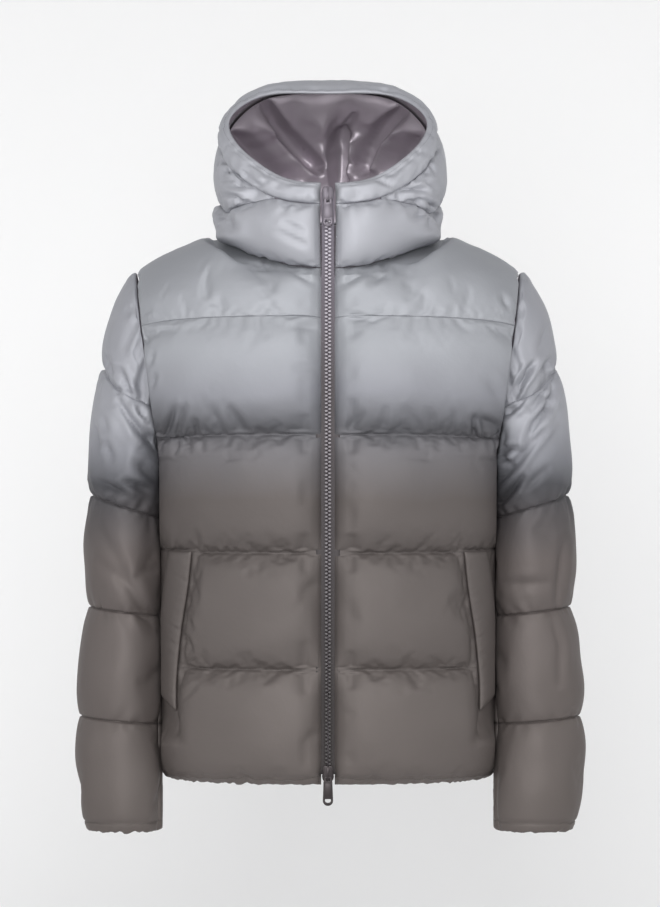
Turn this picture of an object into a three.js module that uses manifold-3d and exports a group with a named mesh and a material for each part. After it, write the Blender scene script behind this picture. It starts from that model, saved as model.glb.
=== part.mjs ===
// Hooded puffer jacket, hollow and filled out as if worn, zipped up to the chin.
// Millimetres, +Z up, the front faces -Y and +X is the wearer's left.
// The origin is the middle of the line between the two side neck points, where the shoulders carry it.
import * as THREE from "three";
import Module from "manifold-3d";
import { mergeVertices } from "three/addons/utils/BufferGeometryUtils.js";

const wasm = await Module();
wasm.setup();

// Driving sizes
const sewnWall = 2.5; // shell, flattened down and lining where a seam holds them together
const seamGap = 0.36; // between neighbouring pieces
const bodyPuff = 16;
const yokePuff = 11;
const yokeSeamLift = 9.5; // the yoke seam is barely drawn in
const sleevePuff = 9.5;
const collarPuff = 14;
const hoodPuff = 12;
const bandPuff = 8;
const weltThickness = 4;
const pocketPuff = 5; // what the panel keeps under the pocket welt
const shoulderShare = 0.12; // of the yoke's puff that the shoulder seam leaves
const gatherShare = 0.2; // how far the gathers beside a quilting seam stand proud of the puff

// Heights
const hemZ = -660;
const yokeSeamZ = -116; // at the zip
const yokeSeamDrop = 15; // how much lower the yoke seam meets the armhole
const quiltZ = [hemZ, -526, -390, -252, yokeSeamZ]; // quilting seams of the body
const armpitZ = -276;
const shoulderTipZ = -58;

// Neck opening and shoulder
const neckHalf = 96;
const neckY = 6; // where the side neck points lie
const neckFrontDepth = 108;
const neckBackDepth = 80;
const neckFrontZ = -57;
const neckSideZ = -4;
const neckBackZ = 6;

// The cone around the neck that parts the hood from the shoulders
const coneLift = 0.7;
const coneSlope = 0.36;
const coneFrontSlope = 1.3; // how much steeper it falls in front
const coneReach = 60;
const coneBottomZ = -110;
const coneTopZ = 40;
const coneEdge = [135, 175]; // it ends between these distances from the neck

// Armhole
const armholeCenterZ = (armpitZ + shoulderTipZ) / 2;
const armholeHalfHeight = (shoulderTipZ - armpitZ) / 2;
const armholeHalfDepth = 76;
const armholeY = 2;
const sleevePlay = 0.45; // body and sleeve each stay this far from the surface that parts them
const partingStartX = 200; // where that surface stands at the armpit
const partingLean = 28; // how far it leans out up to the shoulder tip
const partingDraft = 0.0065; // and how much it closes in below the armpit, per mm
const armholeDraw = 0.72; // the share of a panel's width where the armhole starts to draw it in

// Zip
const zipEdge = 7.7; // the panels end here on each side of the zip
const tapeHalf = 7.35;
const tapeThickness = 2.4; // with the teeth
const tapeRows = [
  { z: -648, y: -128.6 },
  { z: -620, y: -129.4 },
  { z: -526, y: -133 },
  { z: -390, y: -134.5 },
  { z: armpitZ, y: -135.5 },
  { z: -180, y: -130.5 },
  { z: yokeSeamZ, y: -119 },
  { z: -80, y: -110 },
  { z: -57, y: -106.5 },
  { z: -30, y: -106.5 },
  { z: 5, y: -107.2 },
  { z: 33, y: -107.2 },
];

const sectionPower = 2.35; // roundness of the body's sections, 2 is an ellipse

// Body sections of the plain inside
const bodyRows = [
  { z: hemZ, half: 188, front: 121, back: 120 },
  { z: -640, half: 192, front: 127, back: 125 },
  { z: -526, half: 195, front: 132, back: 126 },
  { z: -390, half: 196, front: 133, back: 124 },
  { z: armpitZ, half: 196.5, front: 134, back: 128 },
  { z: -180, half: 209, front: 129, back: 133 },
  { z: yokeSeamZ, half: 217, front: 117, back: 131 },
  { z: shoulderTipZ, half: 225, front: 98, back: 118 },
];

// Sleeve rings of the plain inside: 0 is the armhole, 1 to 4 the quilting seams below the armpit and the cuff
const sleeveRows = [
  { ring: 0, outerX: 228.5, outerZ: shoulderTipZ, innerX: 201, innerZ: armpitZ, centerY: 2, depth: 75 },
  { ring: 0.25, outerX: 247, outerZ: -110, innerX: 202.5, innerZ: -285, centerY: 2, depth: 73 },
  { ring: 0.5, outerX: 265, outerZ: -174, innerX: 203, innerZ: -299, centerY: 2, depth: 70 },
  { ring: 0.75, outerX: 273, outerZ: -250, innerX: 203, innerZ: -322, centerY: 1, depth: 66 },
  { ring: 1, outerX: 278.5, outerZ: -324, innerX: 203, innerZ: -352, centerY: 0, depth: 62 },
  { ring: 2, outerX: 280.5, outerZ: -457, innerX: 203, innerZ: -468, centerY: -3, depth: 56 },
  { ring: 3, outerX: 291, outerZ: -587, innerX: 203, innerZ: -596, centerY: -14, depth: 50 },
  { ring: 4, outerX: 282, outerZ: -722, innerX: 204, innerZ: -722, centerY: -32, depth: 38 },
];
const capSeamAngle = 117; // where the highest sleeve seam runs into the armhole, from the shoulder tip
const capSeamLow = 0.04;
const capSeamRise = 0.46;
const underSeamAngle = 138; // the two long sleeve seams, from the outer side

// Hood profiles from the neck seam up to the rim, by angle from the centre front
const hoodRows = [
  { angle: 0, rimX: 0, rimY: -99, rimZ: 43, lowX: 0, lowY: -108, lowZ: -24, highX: 0, highY: -107, highZ: 14 },
  { angle: 30, rimX: 52, rimY: -91, rimZ: 50, lowX: 62, lowY: -100, lowZ: -20, highX: 62, highY: -99, highZ: 20 },
  { angle: 60, rimX: 99, rimY: -62, rimZ: 84, lowX: 121, lowY: -60, lowZ: -6, highX: 112, highY: -66, highZ: 47 },
  { angle: 90, rimX: 118, rimY: -28, rimZ: 117, lowX: 149, lowY: 0, lowZ: 8, highX: 122, highY: -22, highZ: 78 },
  { angle: 120, rimX: 104, rimY: 2, rimZ: 142, lowX: 146, lowY: 72, lowZ: 8, highX: 126, highY: 60, highZ: 127 },
  { angle: 150, rimX: 66, rimY: 30, rimZ: 159, lowX: 86, lowY: 168, lowZ: -2, highX: 84, highY: 142, highZ: 196 },
  { angle: 180, rimX: 0, rimY: 42, rimZ: 161, lowX: 0, lowY: 218, lowZ: -14, highX: 0, highY: 188, highZ: 220 },
];
const bandRows = [
  { angle: 0, collarTop: 0.735, bandStart: 0.735 },
  { angle: 30, collarTop: 0.735, bandStart: 0.74 },
  { angle: 45, collarTop: 0.6, bandStart: 0.755 },
  { angle: 70, collarTop: 0.36, bandStart: 0.79 },
  { angle: 90, collarTop: 0.33, bandStart: 0.81 },
  { angle: 135, collarTop: 0.26, bandStart: 0.86 },
  { angle: 180, collarTop: 0.24, bandStart: 0.875 },
];
const sideTipAngle = 32; // the hood side panel starts here, where the collar leaves the band
const centerPanelAngle = 146;
const liningThickness = 1;
const liningGap = 2.6; // the lining hangs this far inside the padded pieces

// Pocket welt, from the seam that sews it down to its free edge
const weltRows = [
  { z: -389, seamX: 153.5, edgeX: 179 },
  { z: -430, seamX: 157.5, edgeX: 185 },
  { z: -485, seamX: 165.5, edgeX: 189 },
  { z: -538, seamX: 170.5, edgeX: 189 },
  { z: -577, seamX: 171, edgeX: 187 },
];
const weltSlant = 16; // how much higher its free edge ends than the sewn one
const pocketMargin = 14; // the front lies flat this far before the welt's seam
const pocketEnd = 40; // and this far below the welt it is full again
const weltGap = 1.6; // between the front and the welt

const frontWidth = 230; // about the width of a front, for the distance from its side edge
const zipSideWidth = 190; // the same near the zip, where the stations lie closer

const shellColor = 0x77716e;
const upperShellColor = 0xa9abb3;
const liningColor = 0x7b7479;
const zipColor = 0x4a4547;

const clamp = THREE.MathUtils.clamp;
const radians = THREE.MathUtils.degToRad;
const smooth = THREE.MathUtils.smoothstep;

// A smooth curve through a table's rows: the column called name against the column called key.
function column(rows, key, name) {
  const x = rows.map((row) => row[key]);
  const y = rows.map((row) => row[name]);
  const slope = x.map((_, i) => {
    const before = Math.max(i - 1, 0);
    const after = Math.min(i + 1, x.length - 1);
    return (y[after] - y[before]) / (x[after] - x[before]);
  });
  return (at) => {
    let i = 0;
    while (i < x.length - 2 && at > x[i + 1]) i += 1;
    const step = x[i + 1] - x[i];
    const t = clamp((at - x[i]) / step, 0, 1);
    const rise = t * t * (3 - 2 * t);
    const leave = t * (1 - t) * (1 - t) * step;
    const arrive = t * t * (1 - t) * step;
    return y[i] + (y[i + 1] - y[i]) * rise + slope[i] * leave - slope[i + 1] * arrive;
  };
}

function columns(rows, key) {
  const names = Object.keys(rows[0]).filter((name) => name !== key);
  return Object.fromEntries(names.map((name) => [name, column(rows, key, name)]));
}

// Adds the mirror image of the next row beyond each end, so that the curves cross the centre smoothly.
function bothSides(rows) {
  const flip = (row, angle) => {
    const entries = Object.entries(row).map(([name, value]) => [name, name.endsWith("X") ? -value : value]);
    return { ...Object.fromEntries(entries), angle };
  };
  const second = rows[1];
  const secondLast = rows.at(-2);
  return [flip(second, -second.angle), ...rows, flip(secondLast, 360 - secondLast.angle)];
}

const body = columns(bodyRows, "z");
const sleeve = columns(sleeveRows, "ring");
const hood = columns(bothSides(hoodRows), "angle");
const band = columns(bothSides(bandRows), "angle");
const welt = columns([...weltRows].reverse(), "z");
const tapeY = column(tapeRows, "z", "y");

// The surface that parts the body from a sleeve: upright beside the body, leaning out at the armhole.
function partingX(z) {
  if (z < armpitZ) return partingStartX + (z - armpitZ) * partingDraft;
  return partingStartX + ((z - armpitZ) * partingLean) / (shoulderTipZ - armpitZ);
}

// A quarter of a superellipse: 0 is the centre line and 1 the side.
function quarter(u, power) {
  const angle = (clamp(u, 0, 1) * Math.PI) / 2;
  return [Math.sin(angle) ** (2 / power), Math.cos(angle) ** (2 / power)];
}

// The armhole's half depth at a height, nothing below the armpit.
function armholeDepth(z) {
  const height = clamp((z - armholeCenterZ) / armholeHalfHeight, -1, 1);
  return armholeHalfDepth * Math.sqrt(1 - height * height);
}

// The armhole draws the panel in near its edge only, so that the chest stays round.
function softDepth(z) {
  const height = clamp((z - armholeCenterZ) / armholeHalfHeight, 0, 1);
  return armholeHalfDepth * smooth(z, -310, -200) * Math.sqrt(1 - height * height);
}

// The edge of the front or back at a height: the side seam, then the armhole.
function bodyEdge(z, facing) {
  if (z < armpitZ) return new THREE.Vector3(body.half(z), armholeY, z);
  const height = clamp((z - armholeCenterZ) / armholeHalfHeight, 0, 1);
  const inset = 0.5 + 2.7 * (1 - height * height);
  return new THREE.Vector3(partingX(z) - inset, armholeY + facing * armholeDepth(z), z);
}

// A point of the front (facing -1) or back (facing 1), u from the centre to the side, level counting the seams up.
function bodyPoint(facing, u, level) {
  const side = Math.abs(u);
  const tier = Math.min(Math.floor(level), quiltZ.length - 2);
  const seamZ = THREE.MathUtils.lerp(quiltZ[tier], quiltZ[tier + 1], level - tier);
  const drop = yokeSeamDrop * smooth(seamZ, -330, yokeSeamZ) * side * side;
  const z = seamZ - drop;
  const edge = bodyEdge(z, facing);
  const softEdge = armholeY + facing * softDepth(z);
  const depth = facing * (facing < 0 ? body.front(seamZ) : body.back(seamZ));
  const [across, along] = quarter(side, sectionPower);
  const start = facing < 0 ? zipEdge : 0;
  const x = start + (edge.x - start) * across;
  const y = softEdge + (depth - softEdge) * along + (edge.y - softEdge) * smooth(side, armholeDraw, 1);
  return new THREE.Vector3(Math.sign(u || 1) * x, y, z);
}

// The neckline, by angle from the centre front.
function neckPoint(angle) {
  const turn = radians(angle);
  const forward = Math.cos(turn);
  const x = neckHalf * Math.sin(turn);
  if (forward > 0) {
    const z = neckFrontZ + (neckSideZ - neckFrontZ) * (1 - forward);
    return new THREE.Vector3(x, neckY - neckFrontDepth * forward, z);
  }
  const z = neckSideZ + (neckBackZ - neckSideZ) * (-forward) ** 1.5;
  return new THREE.Vector3(x, neckY - neckBackDepth * forward, z);
}

const neckShare = 0.4; // of a yoke's top edge
const zipAngle = (Math.asin(zipEdge / neckHalf) * 180) / Math.PI;

// The top edge of a yoke: the neckline, then the shoulder seam.
function yokeTop(facing, side) {
  if (side < neckShare) {
    const share = side / neckShare;
    const start = facing < 0 ? zipAngle : 180;
    return neckPoint(start + (90 - start) * share);
  }
  const share = (side - neckShare) / (1 - neckShare);
  const neck = neckPoint(90);
  const tip = new THREE.Vector3(partingX(shoulderTipZ) - 0.5, armholeY, shoulderTipZ);
  return neck.clone().lerp(tip, share);
}

// A point of the front or back yoke, v from the yoke seam up to the neckline and shoulder.
function yokePoint(facing, u, v) {
  const side = Math.abs(u);
  const start = bodyPoint(facing, side, quiltZ.length - 1);
  const end = yokeTop(facing, side);
  const reach = start.distanceTo(end);
  const overShoulder = smooth(side, 0, neckShare);
  const below = bodyPoint(facing, side, quiltZ.length - 1.01);
  const leave = start.clone().sub(below).setLength(reach);
  const arrive = new THREE.Vector3(
    end.x - start.x,
    -facing * reach * (0.45 + 0.75 * overShoulder),
    reach * (0.85 - 0.55 * overShoulder),
  );
  const rise = v * v * (3 - 2 * v);
  const point = start.clone().multiplyScalar(1 - rise).addScaledVector(end, rise);
  point.addScaledVector(leave, v * (1 - v) * (1 - v));
  point.addScaledVector(arrive, -v * v * (1 - v));
  const onArmhole = bodyEdge(THREE.MathUtils.lerp(start.z, shoulderTipZ, v), facing);
  point.lerp(onArmhole, smooth(side, armholeDraw, 1));
  point.x *= Math.sign(u || 1);
  return point;
}

// A point of the left sleeve, angle from its outer side forward, level counting the seams from the armhole.
function sleevePoint(angle, level) {
  const round = Math.abs(angle > 180 ? angle - 360 : angle);
  const rise = round < capSeamAngle ? 1 - (round / capSeamAngle) ** 4 : 0;
  const capSeam = capSeamLow + capSeamRise * rise;
  let ring = level - 1;
  if (level < 1) ring = level * capSeam;
  else if (level < 2) ring = THREE.MathUtils.lerp(capSeam, 1, level - 1);
  const outer = new THREE.Vector3(sleeve.outerX(ring), 0, sleeve.outerZ(ring));
  const inner = new THREE.Vector3(sleeve.innerX(ring), 0, sleeve.innerZ(ring));
  const turn = radians(angle);
  const point = inner.lerp(outer, 0.5 + Math.cos(turn) / 2);
  point.y = sleeve.centerY(ring) - sleeve.depth(ring) * Math.sin(turn);
  return point;
}

// A point of the hood and collar, by angle from the centre front to the wearer's left and round, t up from the neck.
function hoodPoint(angle, t) {
  const mirrored = angle > 180;
  const at = mirrored ? 360 - angle : angle;
  const neck = neckPoint(at);
  const low = new THREE.Vector3(hood.lowX(at), hood.lowY(at), hood.lowZ(at));
  const high = new THREE.Vector3(hood.highX(at), hood.highY(at), hood.highZ(at));
  const rim = new THREE.Vector3(hood.rimX(at), hood.rimY(at), hood.rimZ(at));
  const point = new THREE.CubicBezierCurve3(neck, low, high, rim).getPoint(t);
  if (mirrored) point.x = -point.x;
  return point;
}

// The height of the surface that parts the hood from the shoulders, at a point.
function neckPartingZ(point) {
  const angle = (Math.atan2(Math.abs(point.x), neckY - point.y) * 180) / Math.PI;
  const neck = neckPoint(angle);
  const beyond = Math.hypot(point.x, point.y - neckY) - Math.hypot(neck.x, neck.y - neckY);
  const slope = coneSlope + coneFrontSlope * Math.max(0, Math.cos(radians(angle))) ** 3;
  return neck.z + coneLift - slope * clamp(beyond, 0, coneReach);
}

function keepBody(point) {
  const farthest = partingX(point.z) - sleevePlay;
  point.x = clamp(point.x, -farthest, farthest);
  if (point.z < coneBottomZ) return;
  point.z = Math.min(point.z, neckPartingZ(point) + coneReach * farFromNeck(point) - seamGap);
}

function farFromNeck(point) {
  return smooth(Math.hypot(point.x, point.y - neckY), ...coneEdge);
}

function keepFront(point) {
  keepBody(point);
  point.x = Math.max(point.x, zipEdge);
}

function keepSleeve(point) {
  point.x = Math.max(point.x, partingX(point.z) + sleevePlay);
}

function keepHood(point) {
  const bottom = neckPartingZ(point) - coneReach * farFromNeck(point) + 3 * seamGap;
  if (point.z < coneTopZ) point.z = Math.max(point.z, bottom);
  if (point.y < -60 && Math.abs(point.x) < zipEdge) point.x = zipEdge * Math.sign(point.x);
}

// How full a puff is between two seams, from 0 to 1 across it.
function pillow(share) {
  return (1 - Math.abs(2 * clamp(share, 0, 1) - 1) ** 2.6) ** 0.62;
}

// How full a puff is at a distance from an edge that holds it down.
function swell(distance, reach) {
  return Math.sqrt(1 - (1 - clamp(distance / reach, 0, 1)) ** 2);
}

// Where the gathers beside a seam stand proud: every other column, fading to the middle of the puff.
function gather(index, share) {
  const nearSeam = Math.abs(2 * share - 1) ** 2;
  return 1 + gatherShare * nearSeam * (index % 2 ? 1 : -1);
}

// A wall over a plain inside: a closed solid with its outer points raised by lift.
// across and along list the stations, and point gives the inside at two of them.
function wallPanel({ point, across, along, lift, keep, base = () => 0, thickness = sewnWall }) {
  const inner = [];
  const outer = [];
  across.forEach((u, i) => {
    along.forEach((v, j) => {
      const stepU = (across.at(-1) - across[0]) * 0.002;
      const stepV = (along.at(-1) - along[0]) * 0.002;
      const u0 = Math.max(u - stepU, across[0]);
      const u1 = Math.min(u + stepU, across.at(-1));
      const v0 = Math.max(v - stepV, along[0]);
      const v1 = Math.min(v + stepV, along.at(-1));
      const normal = point(u1, v).sub(point(u0, v)).cross(point(u, v1).sub(point(u, v0))).normalize();
      const low = point(u, v).addScaledVector(normal, base(u, v));
      const high = low.clone().addScaledVector(normal, thickness + lift(u, v, i, j));
      keep(low);
      keep(high);
      inner.push(low);
      outer.push(high);
    });
  });
  const wide = across.length;
  const tall = along.length;
  [inner, outer].forEach((points) => trimEdges(points, wide, tall));
  return closedWall(inner, outer, wide, tall);
}

// Draws the border of a grid of points in by half the gap that parts it from the next piece.
function trimEdges(points, wide, tall) {
  const drawIn = (edge, next) => {
    const toward = points[next].clone().sub(points[edge]).setLength(seamGap / 2);
    points[edge].add(toward);
  };
  for (let i = 0; i < wide; i += 1) {
    drawIn(i * tall, i * tall + 1);
    drawIn(i * tall + tall - 1, i * tall + tall - 2);
  }
  for (let j = 0; j < tall; j += 1) {
    drawIn(j, tall + j);
    drawIn((wide - 1) * tall + j, (wide - 2) * tall + j);
  }
}

function closedWall(inner, outer, wide, tall) {
  const positions = [...inner, ...outer].flatMap((p) => [p.x, p.y, p.z]);
  const index = [];
  const count = inner.length;
  const at = (i, j, isOuter) => i * tall + j + (isOuter ? count : 0);
  const quad = (a, b, c, d) => index.push(a, b, c, a, c, d);
  for (let i = 0; i < wide - 1; i += 1) {
    for (let j = 0; j < tall - 1; j += 1) {
      quad(at(i, j, true), at(i + 1, j, true), at(i + 1, j + 1, true), at(i, j + 1, true));
      quad(at(i, j), at(i, j + 1), at(i + 1, j + 1), at(i + 1, j));
    }
    quad(at(i, 0), at(i + 1, 0), at(i + 1, 0, true), at(i, 0, true));
    quad(at(i, tall - 1, true), at(i + 1, tall - 1, true), at(i + 1, tall - 1), at(i, tall - 1));
  }
  for (let j = 0; j < tall - 1; j += 1) {
    quad(at(0, j, true), at(0, j + 1, true), at(0, j + 1), at(0, j));
    quad(at(wide - 1, j), at(wide - 1, j + 1), at(wide - 1, j + 1, true), at(wide - 1, j, true));
  }
  const geometry = new THREE.BufferGeometry();
  geometry.setAttribute("position", new THREE.Float32BufferAttribute(positions, 3));
  geometry.setIndex(index);
  return geometry;
}

function mirrored(geometry) {
  const copy = geometry.clone();
  copy.scale(-1, 1, 1);
  const index = copy.getIndex();
  for (let i = 0; i < index.count; i += 3) {
    const second = index.getX(i + 1);
    index.setX(i + 1, index.getX(i + 2));
    index.setX(i + 2, second);
  }
  return copy;
}

// The stations of several tiers, each with the same shares between its seams.
function tiers(count, shares, start = 0) {
  const stations = [start];
  for (let tier = 0; tier < count; tier += 1) stations.push(...shares.map((share) => start + tier + share));
  return stations;
}

const tierShares = [0.1, 0.3, 0.7, 0.9, 1];
const sleeveShares = [0.12, 0.5, 0.88, 1];
const frontStations = [0, 0.02, 0.06, 0.13, 0.21, 0.3, neckShare, 0.5, 0.6, 0.7, 0.8, 0.89, 0.96, 1];
const halfBackStations = [0, 0.1, 0.2, 0.3, neckShare, 0.5, 0.6, 0.7, 0.8, 0.89, 0.96, 1];
const backStations = [...halfBackStations.slice(1).reverse(), ...halfBackStations.map((u) => -u)];

// How full the body is beside the zip, the side seam and the armhole.
function bodySwell(u, facing, sideReach = 26) {
  const fromSide = frontWidth * (1 - Math.abs(u));
  const fromZip = facing < 0 ? zipSideWidth * u ** 0.87 : Infinity;
  return swell(fromSide, sideReach) * swell(fromZip, 30);
}

// How much of its puff the front keeps at a point: little beside the welt's seam and under the welt.
function pocketShare(point) {
  const top = weltRows[0].z;
  const bottom = weltRows.at(-1).z;
  if (point.z > top || point.z < bottom - pocketEnd) return 1;
  const before = welt.seamX(clamp(point.z, bottom, top)) - pocketMargin - point.x;
  const below = smooth(bottom - point.z, 12, pocketEnd);
  return Math.max(below, swell(before, 30));
}

// How full a body tier is; the highest one stays full up to the yoke seam.
function tierPillow(level) {
  const full = pillow(level % 1);
  return level > quiltZ.length - 1.5 ? Math.max(full, yokeSeamLift / bodyPuff) : full;
}

function frontLift(u, level, i) {
  const share = level % 1;
  const point = bodyPoint(-1, u, level);
  const open = pocketShare(point);
  const puff = bodyPuff * tierPillow(level) * gather(i, share) * bodySwell(u, -1);
  const flat = pocketPuff * swell(frontWidth * (1 - u), 20);
  return open < 1 ? Math.max(puff * open, flat * (1 - open)) : puff;
}

function backLift(u, level, i) {
  const share = level % 1;
  return bodyPuff * tierPillow(level) * gather(i, share) * bodySwell(u, 1);
}

function yokeLift(facing) {
  return (u, v, i) => {
    const neckHold = Math.abs(u) < neckShare ? swell(1 - v, 0.35) : 1;
    const shoulderHold = Math.max(swell(1 - v, 0.2), shoulderShare);
    const seamHold = Math.max(swell(v, 0.25), yokeSeamLift / yokePuff);
    const tipReach = 26 + 50 * smooth(v, 0.4, 1); // it thins out towards the shoulder tip
    return yokePuff * seamHold * neckHold * shoulderHold * gather(i, v) * bodySwell(u, facing, tipReach);
  };
}

function frontPanel() {
  const point = (u, level) => bodyPoint(-1, u, level);
  const along = tiers(quiltZ.length - 1, tierShares);
  return wallPanel({ point, across: frontStations, along, lift: frontLift, keep: keepFront });
}

function backPanel() {
  const point = (s, level) => bodyPoint(1, -s, level);
  const along = tiers(quiltZ.length - 1, tierShares);
  return wallPanel({ point, across: backStations.map((u) => -u), along, lift: backLift, keep: keepBody });
}

function yokePanel(facing) {
  const isFront = facing < 0;
  const across = isFront ? frontStations : backStations.map((u) => -u);
  const point = (s, v) => yokePoint(facing, isFront ? s : -s, v);
  const keep = isFront ? keepFront : keepBody;
  return wallPanel({ point, across, along: [0, 0.1, 0.3, 0.6, 0.85, 1], lift: yokeLift(facing), keep });
}

// The sleeve's puff at a seam tier, fading where the cap narrows to nothing and at the long seams.
function sleeveLift(from, to) {
  return (angle, level, i) => {
    const share = level % 1;
    const round = Math.abs(angle > 180 ? angle - 360 : angle);
    const capHeight = level < 1 ? clamp((capSeamAngle - round) / 60, 0, 1) : 1;
    const fromSeam = Math.min(angle - from, to - angle);
    return sleevePuff * pillow(share) * gather(i, share) * capHeight * swell(fromSeam, 22);
  };
}

// A piece of the sleeve between two angles, so many tiers long from a quilting seam.
function sleevePanel({ from, to, count, firstSeam = 0, tierCount }) {
  const across = Array.from({ length: count + 1 }, (_, i) => from + ((to - from) * i) / count);
  return wallPanel({
    point: sleevePoint,
    across,
    along: tiers(tierCount, sleeveShares, firstSeam),
    lift: sleeveLift(from, to),
    keep: keepSleeve,
  });
}

// A piece of the hood between two angles, from one share of its height to another.
function hoodPanel({ across, shares, from, to, lift, ...rest }) {
  const level = (angle, s) => {
    const at = angle > 180 ? 360 - angle : angle;
    return THREE.MathUtils.lerp(from(at), to(at), s);
  };
  const point = (angle, s) => hoodPoint(angle, level(angle, s));
  return wallPanel({ point, across, along: shares, lift, keep: keepHood, ...rest });
}

const hoodStations = [
  zipAngle, 8.9, 17.4, 25, sideTipAngle, 41, 49.4, 59, 68.7, 79, 90, 101, 112.5, 124, 135, centerPanelAngle,
];
const centerStations = [centerPanelAngle, 157.5, 169, 180, 191, 202.5, 360 - centerPanelAngle];
const hoodShares = [0, 0.08, 0.2, 0.35, 0.5, 0.65, 0.8, 0.92, 1];
const neckSeam = () => 0;
const collarTop = (angle) => Math.min(band.collarTop(angle), band.bandStart(angle));

function hoodLift(puff, first, last, reach) {
  return (angle, s, i) => {
    const fromSeam = Math.min(angle - first, last - angle);
    return puff * pillow(s) * gather(i, s) * swell(fromSeam, reach);
  };
}

function collarPanel() {
  const half = hoodStations.concat(centerStations.slice(1, 4));
  const lift = hoodLift(collarPuff, zipAngle, 180, 12);
  return hoodPanel({ across: half, shares: [0, 0.12, 0.4, 0.7, 0.9, 1], from: neckSeam, to: collarTop, lift });
}

function hoodSide() {
  const across = hoodStations.slice(hoodStations.indexOf(sideTipAngle));
  const pillowLift = hoodLift(hoodPuff, sideTipAngle, centerPanelAngle, 20);
  const lift = (angle, s, i) => pillowLift(angle, s, i) * smooth(angle, sideTipAngle, 65);
  return hoodPanel({ across, shares: hoodShares, from: collarTop, to: band.bandStart, lift });
}

function hoodCenter() {
  const lift = hoodLift(hoodPuff, centerPanelAngle, 360 - centerPanelAngle, 16);
  return hoodPanel({ across: centerStations, shares: hoodShares, from: collarTop, to: band.bandStart, lift });
}

const roundStations = [
  ...hoodStations,
  ...centerStations.slice(1, -1),
  ...hoodStations.map((angle) => 360 - angle).reverse(),
];

function hoodBand() {
  const lift = hoodLift(bandPuff, zipAngle, 360 - zipAngle, 8);
  return hoodPanel({ across: roundStations, shares: [0, 0.2, 0.5, 0.8, 1], from: band.bandStart, to: () => 1, lift });
}

function hoodLining() {
  return hoodPanel({
    across: roundStations,
    shares: [0, 0.12, 0.26, 0.4, 0.55, 0.7, 0.85, 1],
    from: () => 0.03,
    to: (angle) => band.bandStart(angle) - 0.01,
    lift: () => 0,
    base: (angle, s) => -liningThickness - (s === 0 || s === 1 ? seamGap : liningGap),
    thickness: liningThickness,
  });
}

// The welt lies on the front's outer points, moved out.
function pocketWelt() {
  const across = [0, 0.35, 0.7, 1];
  const along = [0, 0.08, 0.2, 0.35, 0.5, 0.65, 0.8, 0.92, 1];
  const top = weltRows[0].z;
  const bottomZ = weltRows.at(-1).z;
  const levelOf = (z) => {
    const tier = quiltZ.findIndex((seam, i) => z < quiltZ[i + 1]);
    return tier + (z - quiltZ[tier]) / (quiltZ[tier + 1] - quiltZ[tier]);
  };
  const point = (s, v) => {
    const slant = weltSlant * s * (1 - v);
    const z = THREE.MathUtils.lerp(bottomZ, top, v) + slant;
    const x = THREE.MathUtils.lerp(welt.seamX(z), welt.edgeX(z), s);
    const edge = body.half(z);
    const u = (Math.asin(clamp((x - zipEdge) / (edge - zipEdge), 0, 1) ** (sectionPower / 2)) * 2) / Math.PI;
    return bodyPoint(-1, u, levelOf(z));
  };
  const lift = (s, v) => weltThickness * 0.5 * swell(s, 0.3) * swell(1 - s, 0.3) * swell(1 - v, 0.1);
  const base = () => sewnWall + pocketPuff + weltGap;
  return wallPanel({ point, across, along, lift, keep: keepFront, base, thickness: weltThickness * 0.5 });
}

function zipTape() {
  return wallPanel({
    point: (x, z) => new THREE.Vector3(x, tapeY(z), z),
    across: [seamGap / 2, tapeHalf],
    along: tapeRows.map((row) => row.z),
    lift: () => 0,
    keep: () => {},
    thickness: tapeThickness,
  });
}

function solidOf(geometry) {
  const bare = geometry.clone();
  bare.deleteAttribute("normal");
  bare.deleteAttribute("uv");
  const merged = mergeVertices(bare, 1e-4);
  return new wasm.Manifold(
    new wasm.Mesh({
      numProp: 3,
      vertProperties: merged.attributes.position.array,
      triVerts: new Uint32Array(merged.index.array),
    }),
  );
}

function geometryOf(solid) {
  const mesh = solid.getMesh();
  const geometry = new THREE.BufferGeometry();
  geometry.setAttribute("position", new THREE.BufferAttribute(mesh.vertProperties, 3));
  geometry.setIndex(new THREE.BufferAttribute(mesh.triVerts, 1));
  return geometry;
}

// Slider and pull, drawn about the pull's pivot: x across, z up, y towards the jacket.
const sliderSize = {
  height: 18,
  narrow: 5.6,
  wide: 7,
  plate: 1.4,
  channel: 1.8, // half the space between the plates
  bailWidth: 2.2,
  bailOut: 4.6, // how far the bail stands out of the front plate
  bailBar: 1.4,
  bailFoot: 0.6, // where the bail starts above the slider's narrow end
};
const pullSize = { length: 33.5, topHalf: 5.1, endHalf: 6, thickness: 1.8, barHeight: 1.8, slotHalf: 2, slotHeight: 3.2 };
const bailTop = sliderSize.height - 1.5;
const pivotGap = 1.6; // from the front plate's face to the pull's pivot

function plateShape() {
  const { height, narrow, wide } = sliderSize;
  const shape = new THREE.Shape();
  shape.moveTo(-narrow + 1.5, 0);
  shape.lineTo(narrow - 1.5, 0);
  shape.lineTo(narrow, 1.5);
  shape.lineTo(wide, height * 0.7);
  shape.lineTo(wide - 2, height);
  shape.lineTo(-wide + 2, height);
  shape.lineTo(-wide, height * 0.7);
  shape.lineTo(-narrow, 1.5);
  shape.closePath();
  return shape;
}

// An extrusion whose outline lies in x and z, from y0 towards the jacket.
function upright(shape, depth, y0) {
  const geometry = new THREE.ExtrudeGeometry(shape, { depth, bevelEnabled: false, curveSegments: 5 });
  geometry.rotateX(Math.PI / 2);
  geometry.translate(0, y0 + depth, 0);
  return geometry;
}

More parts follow.
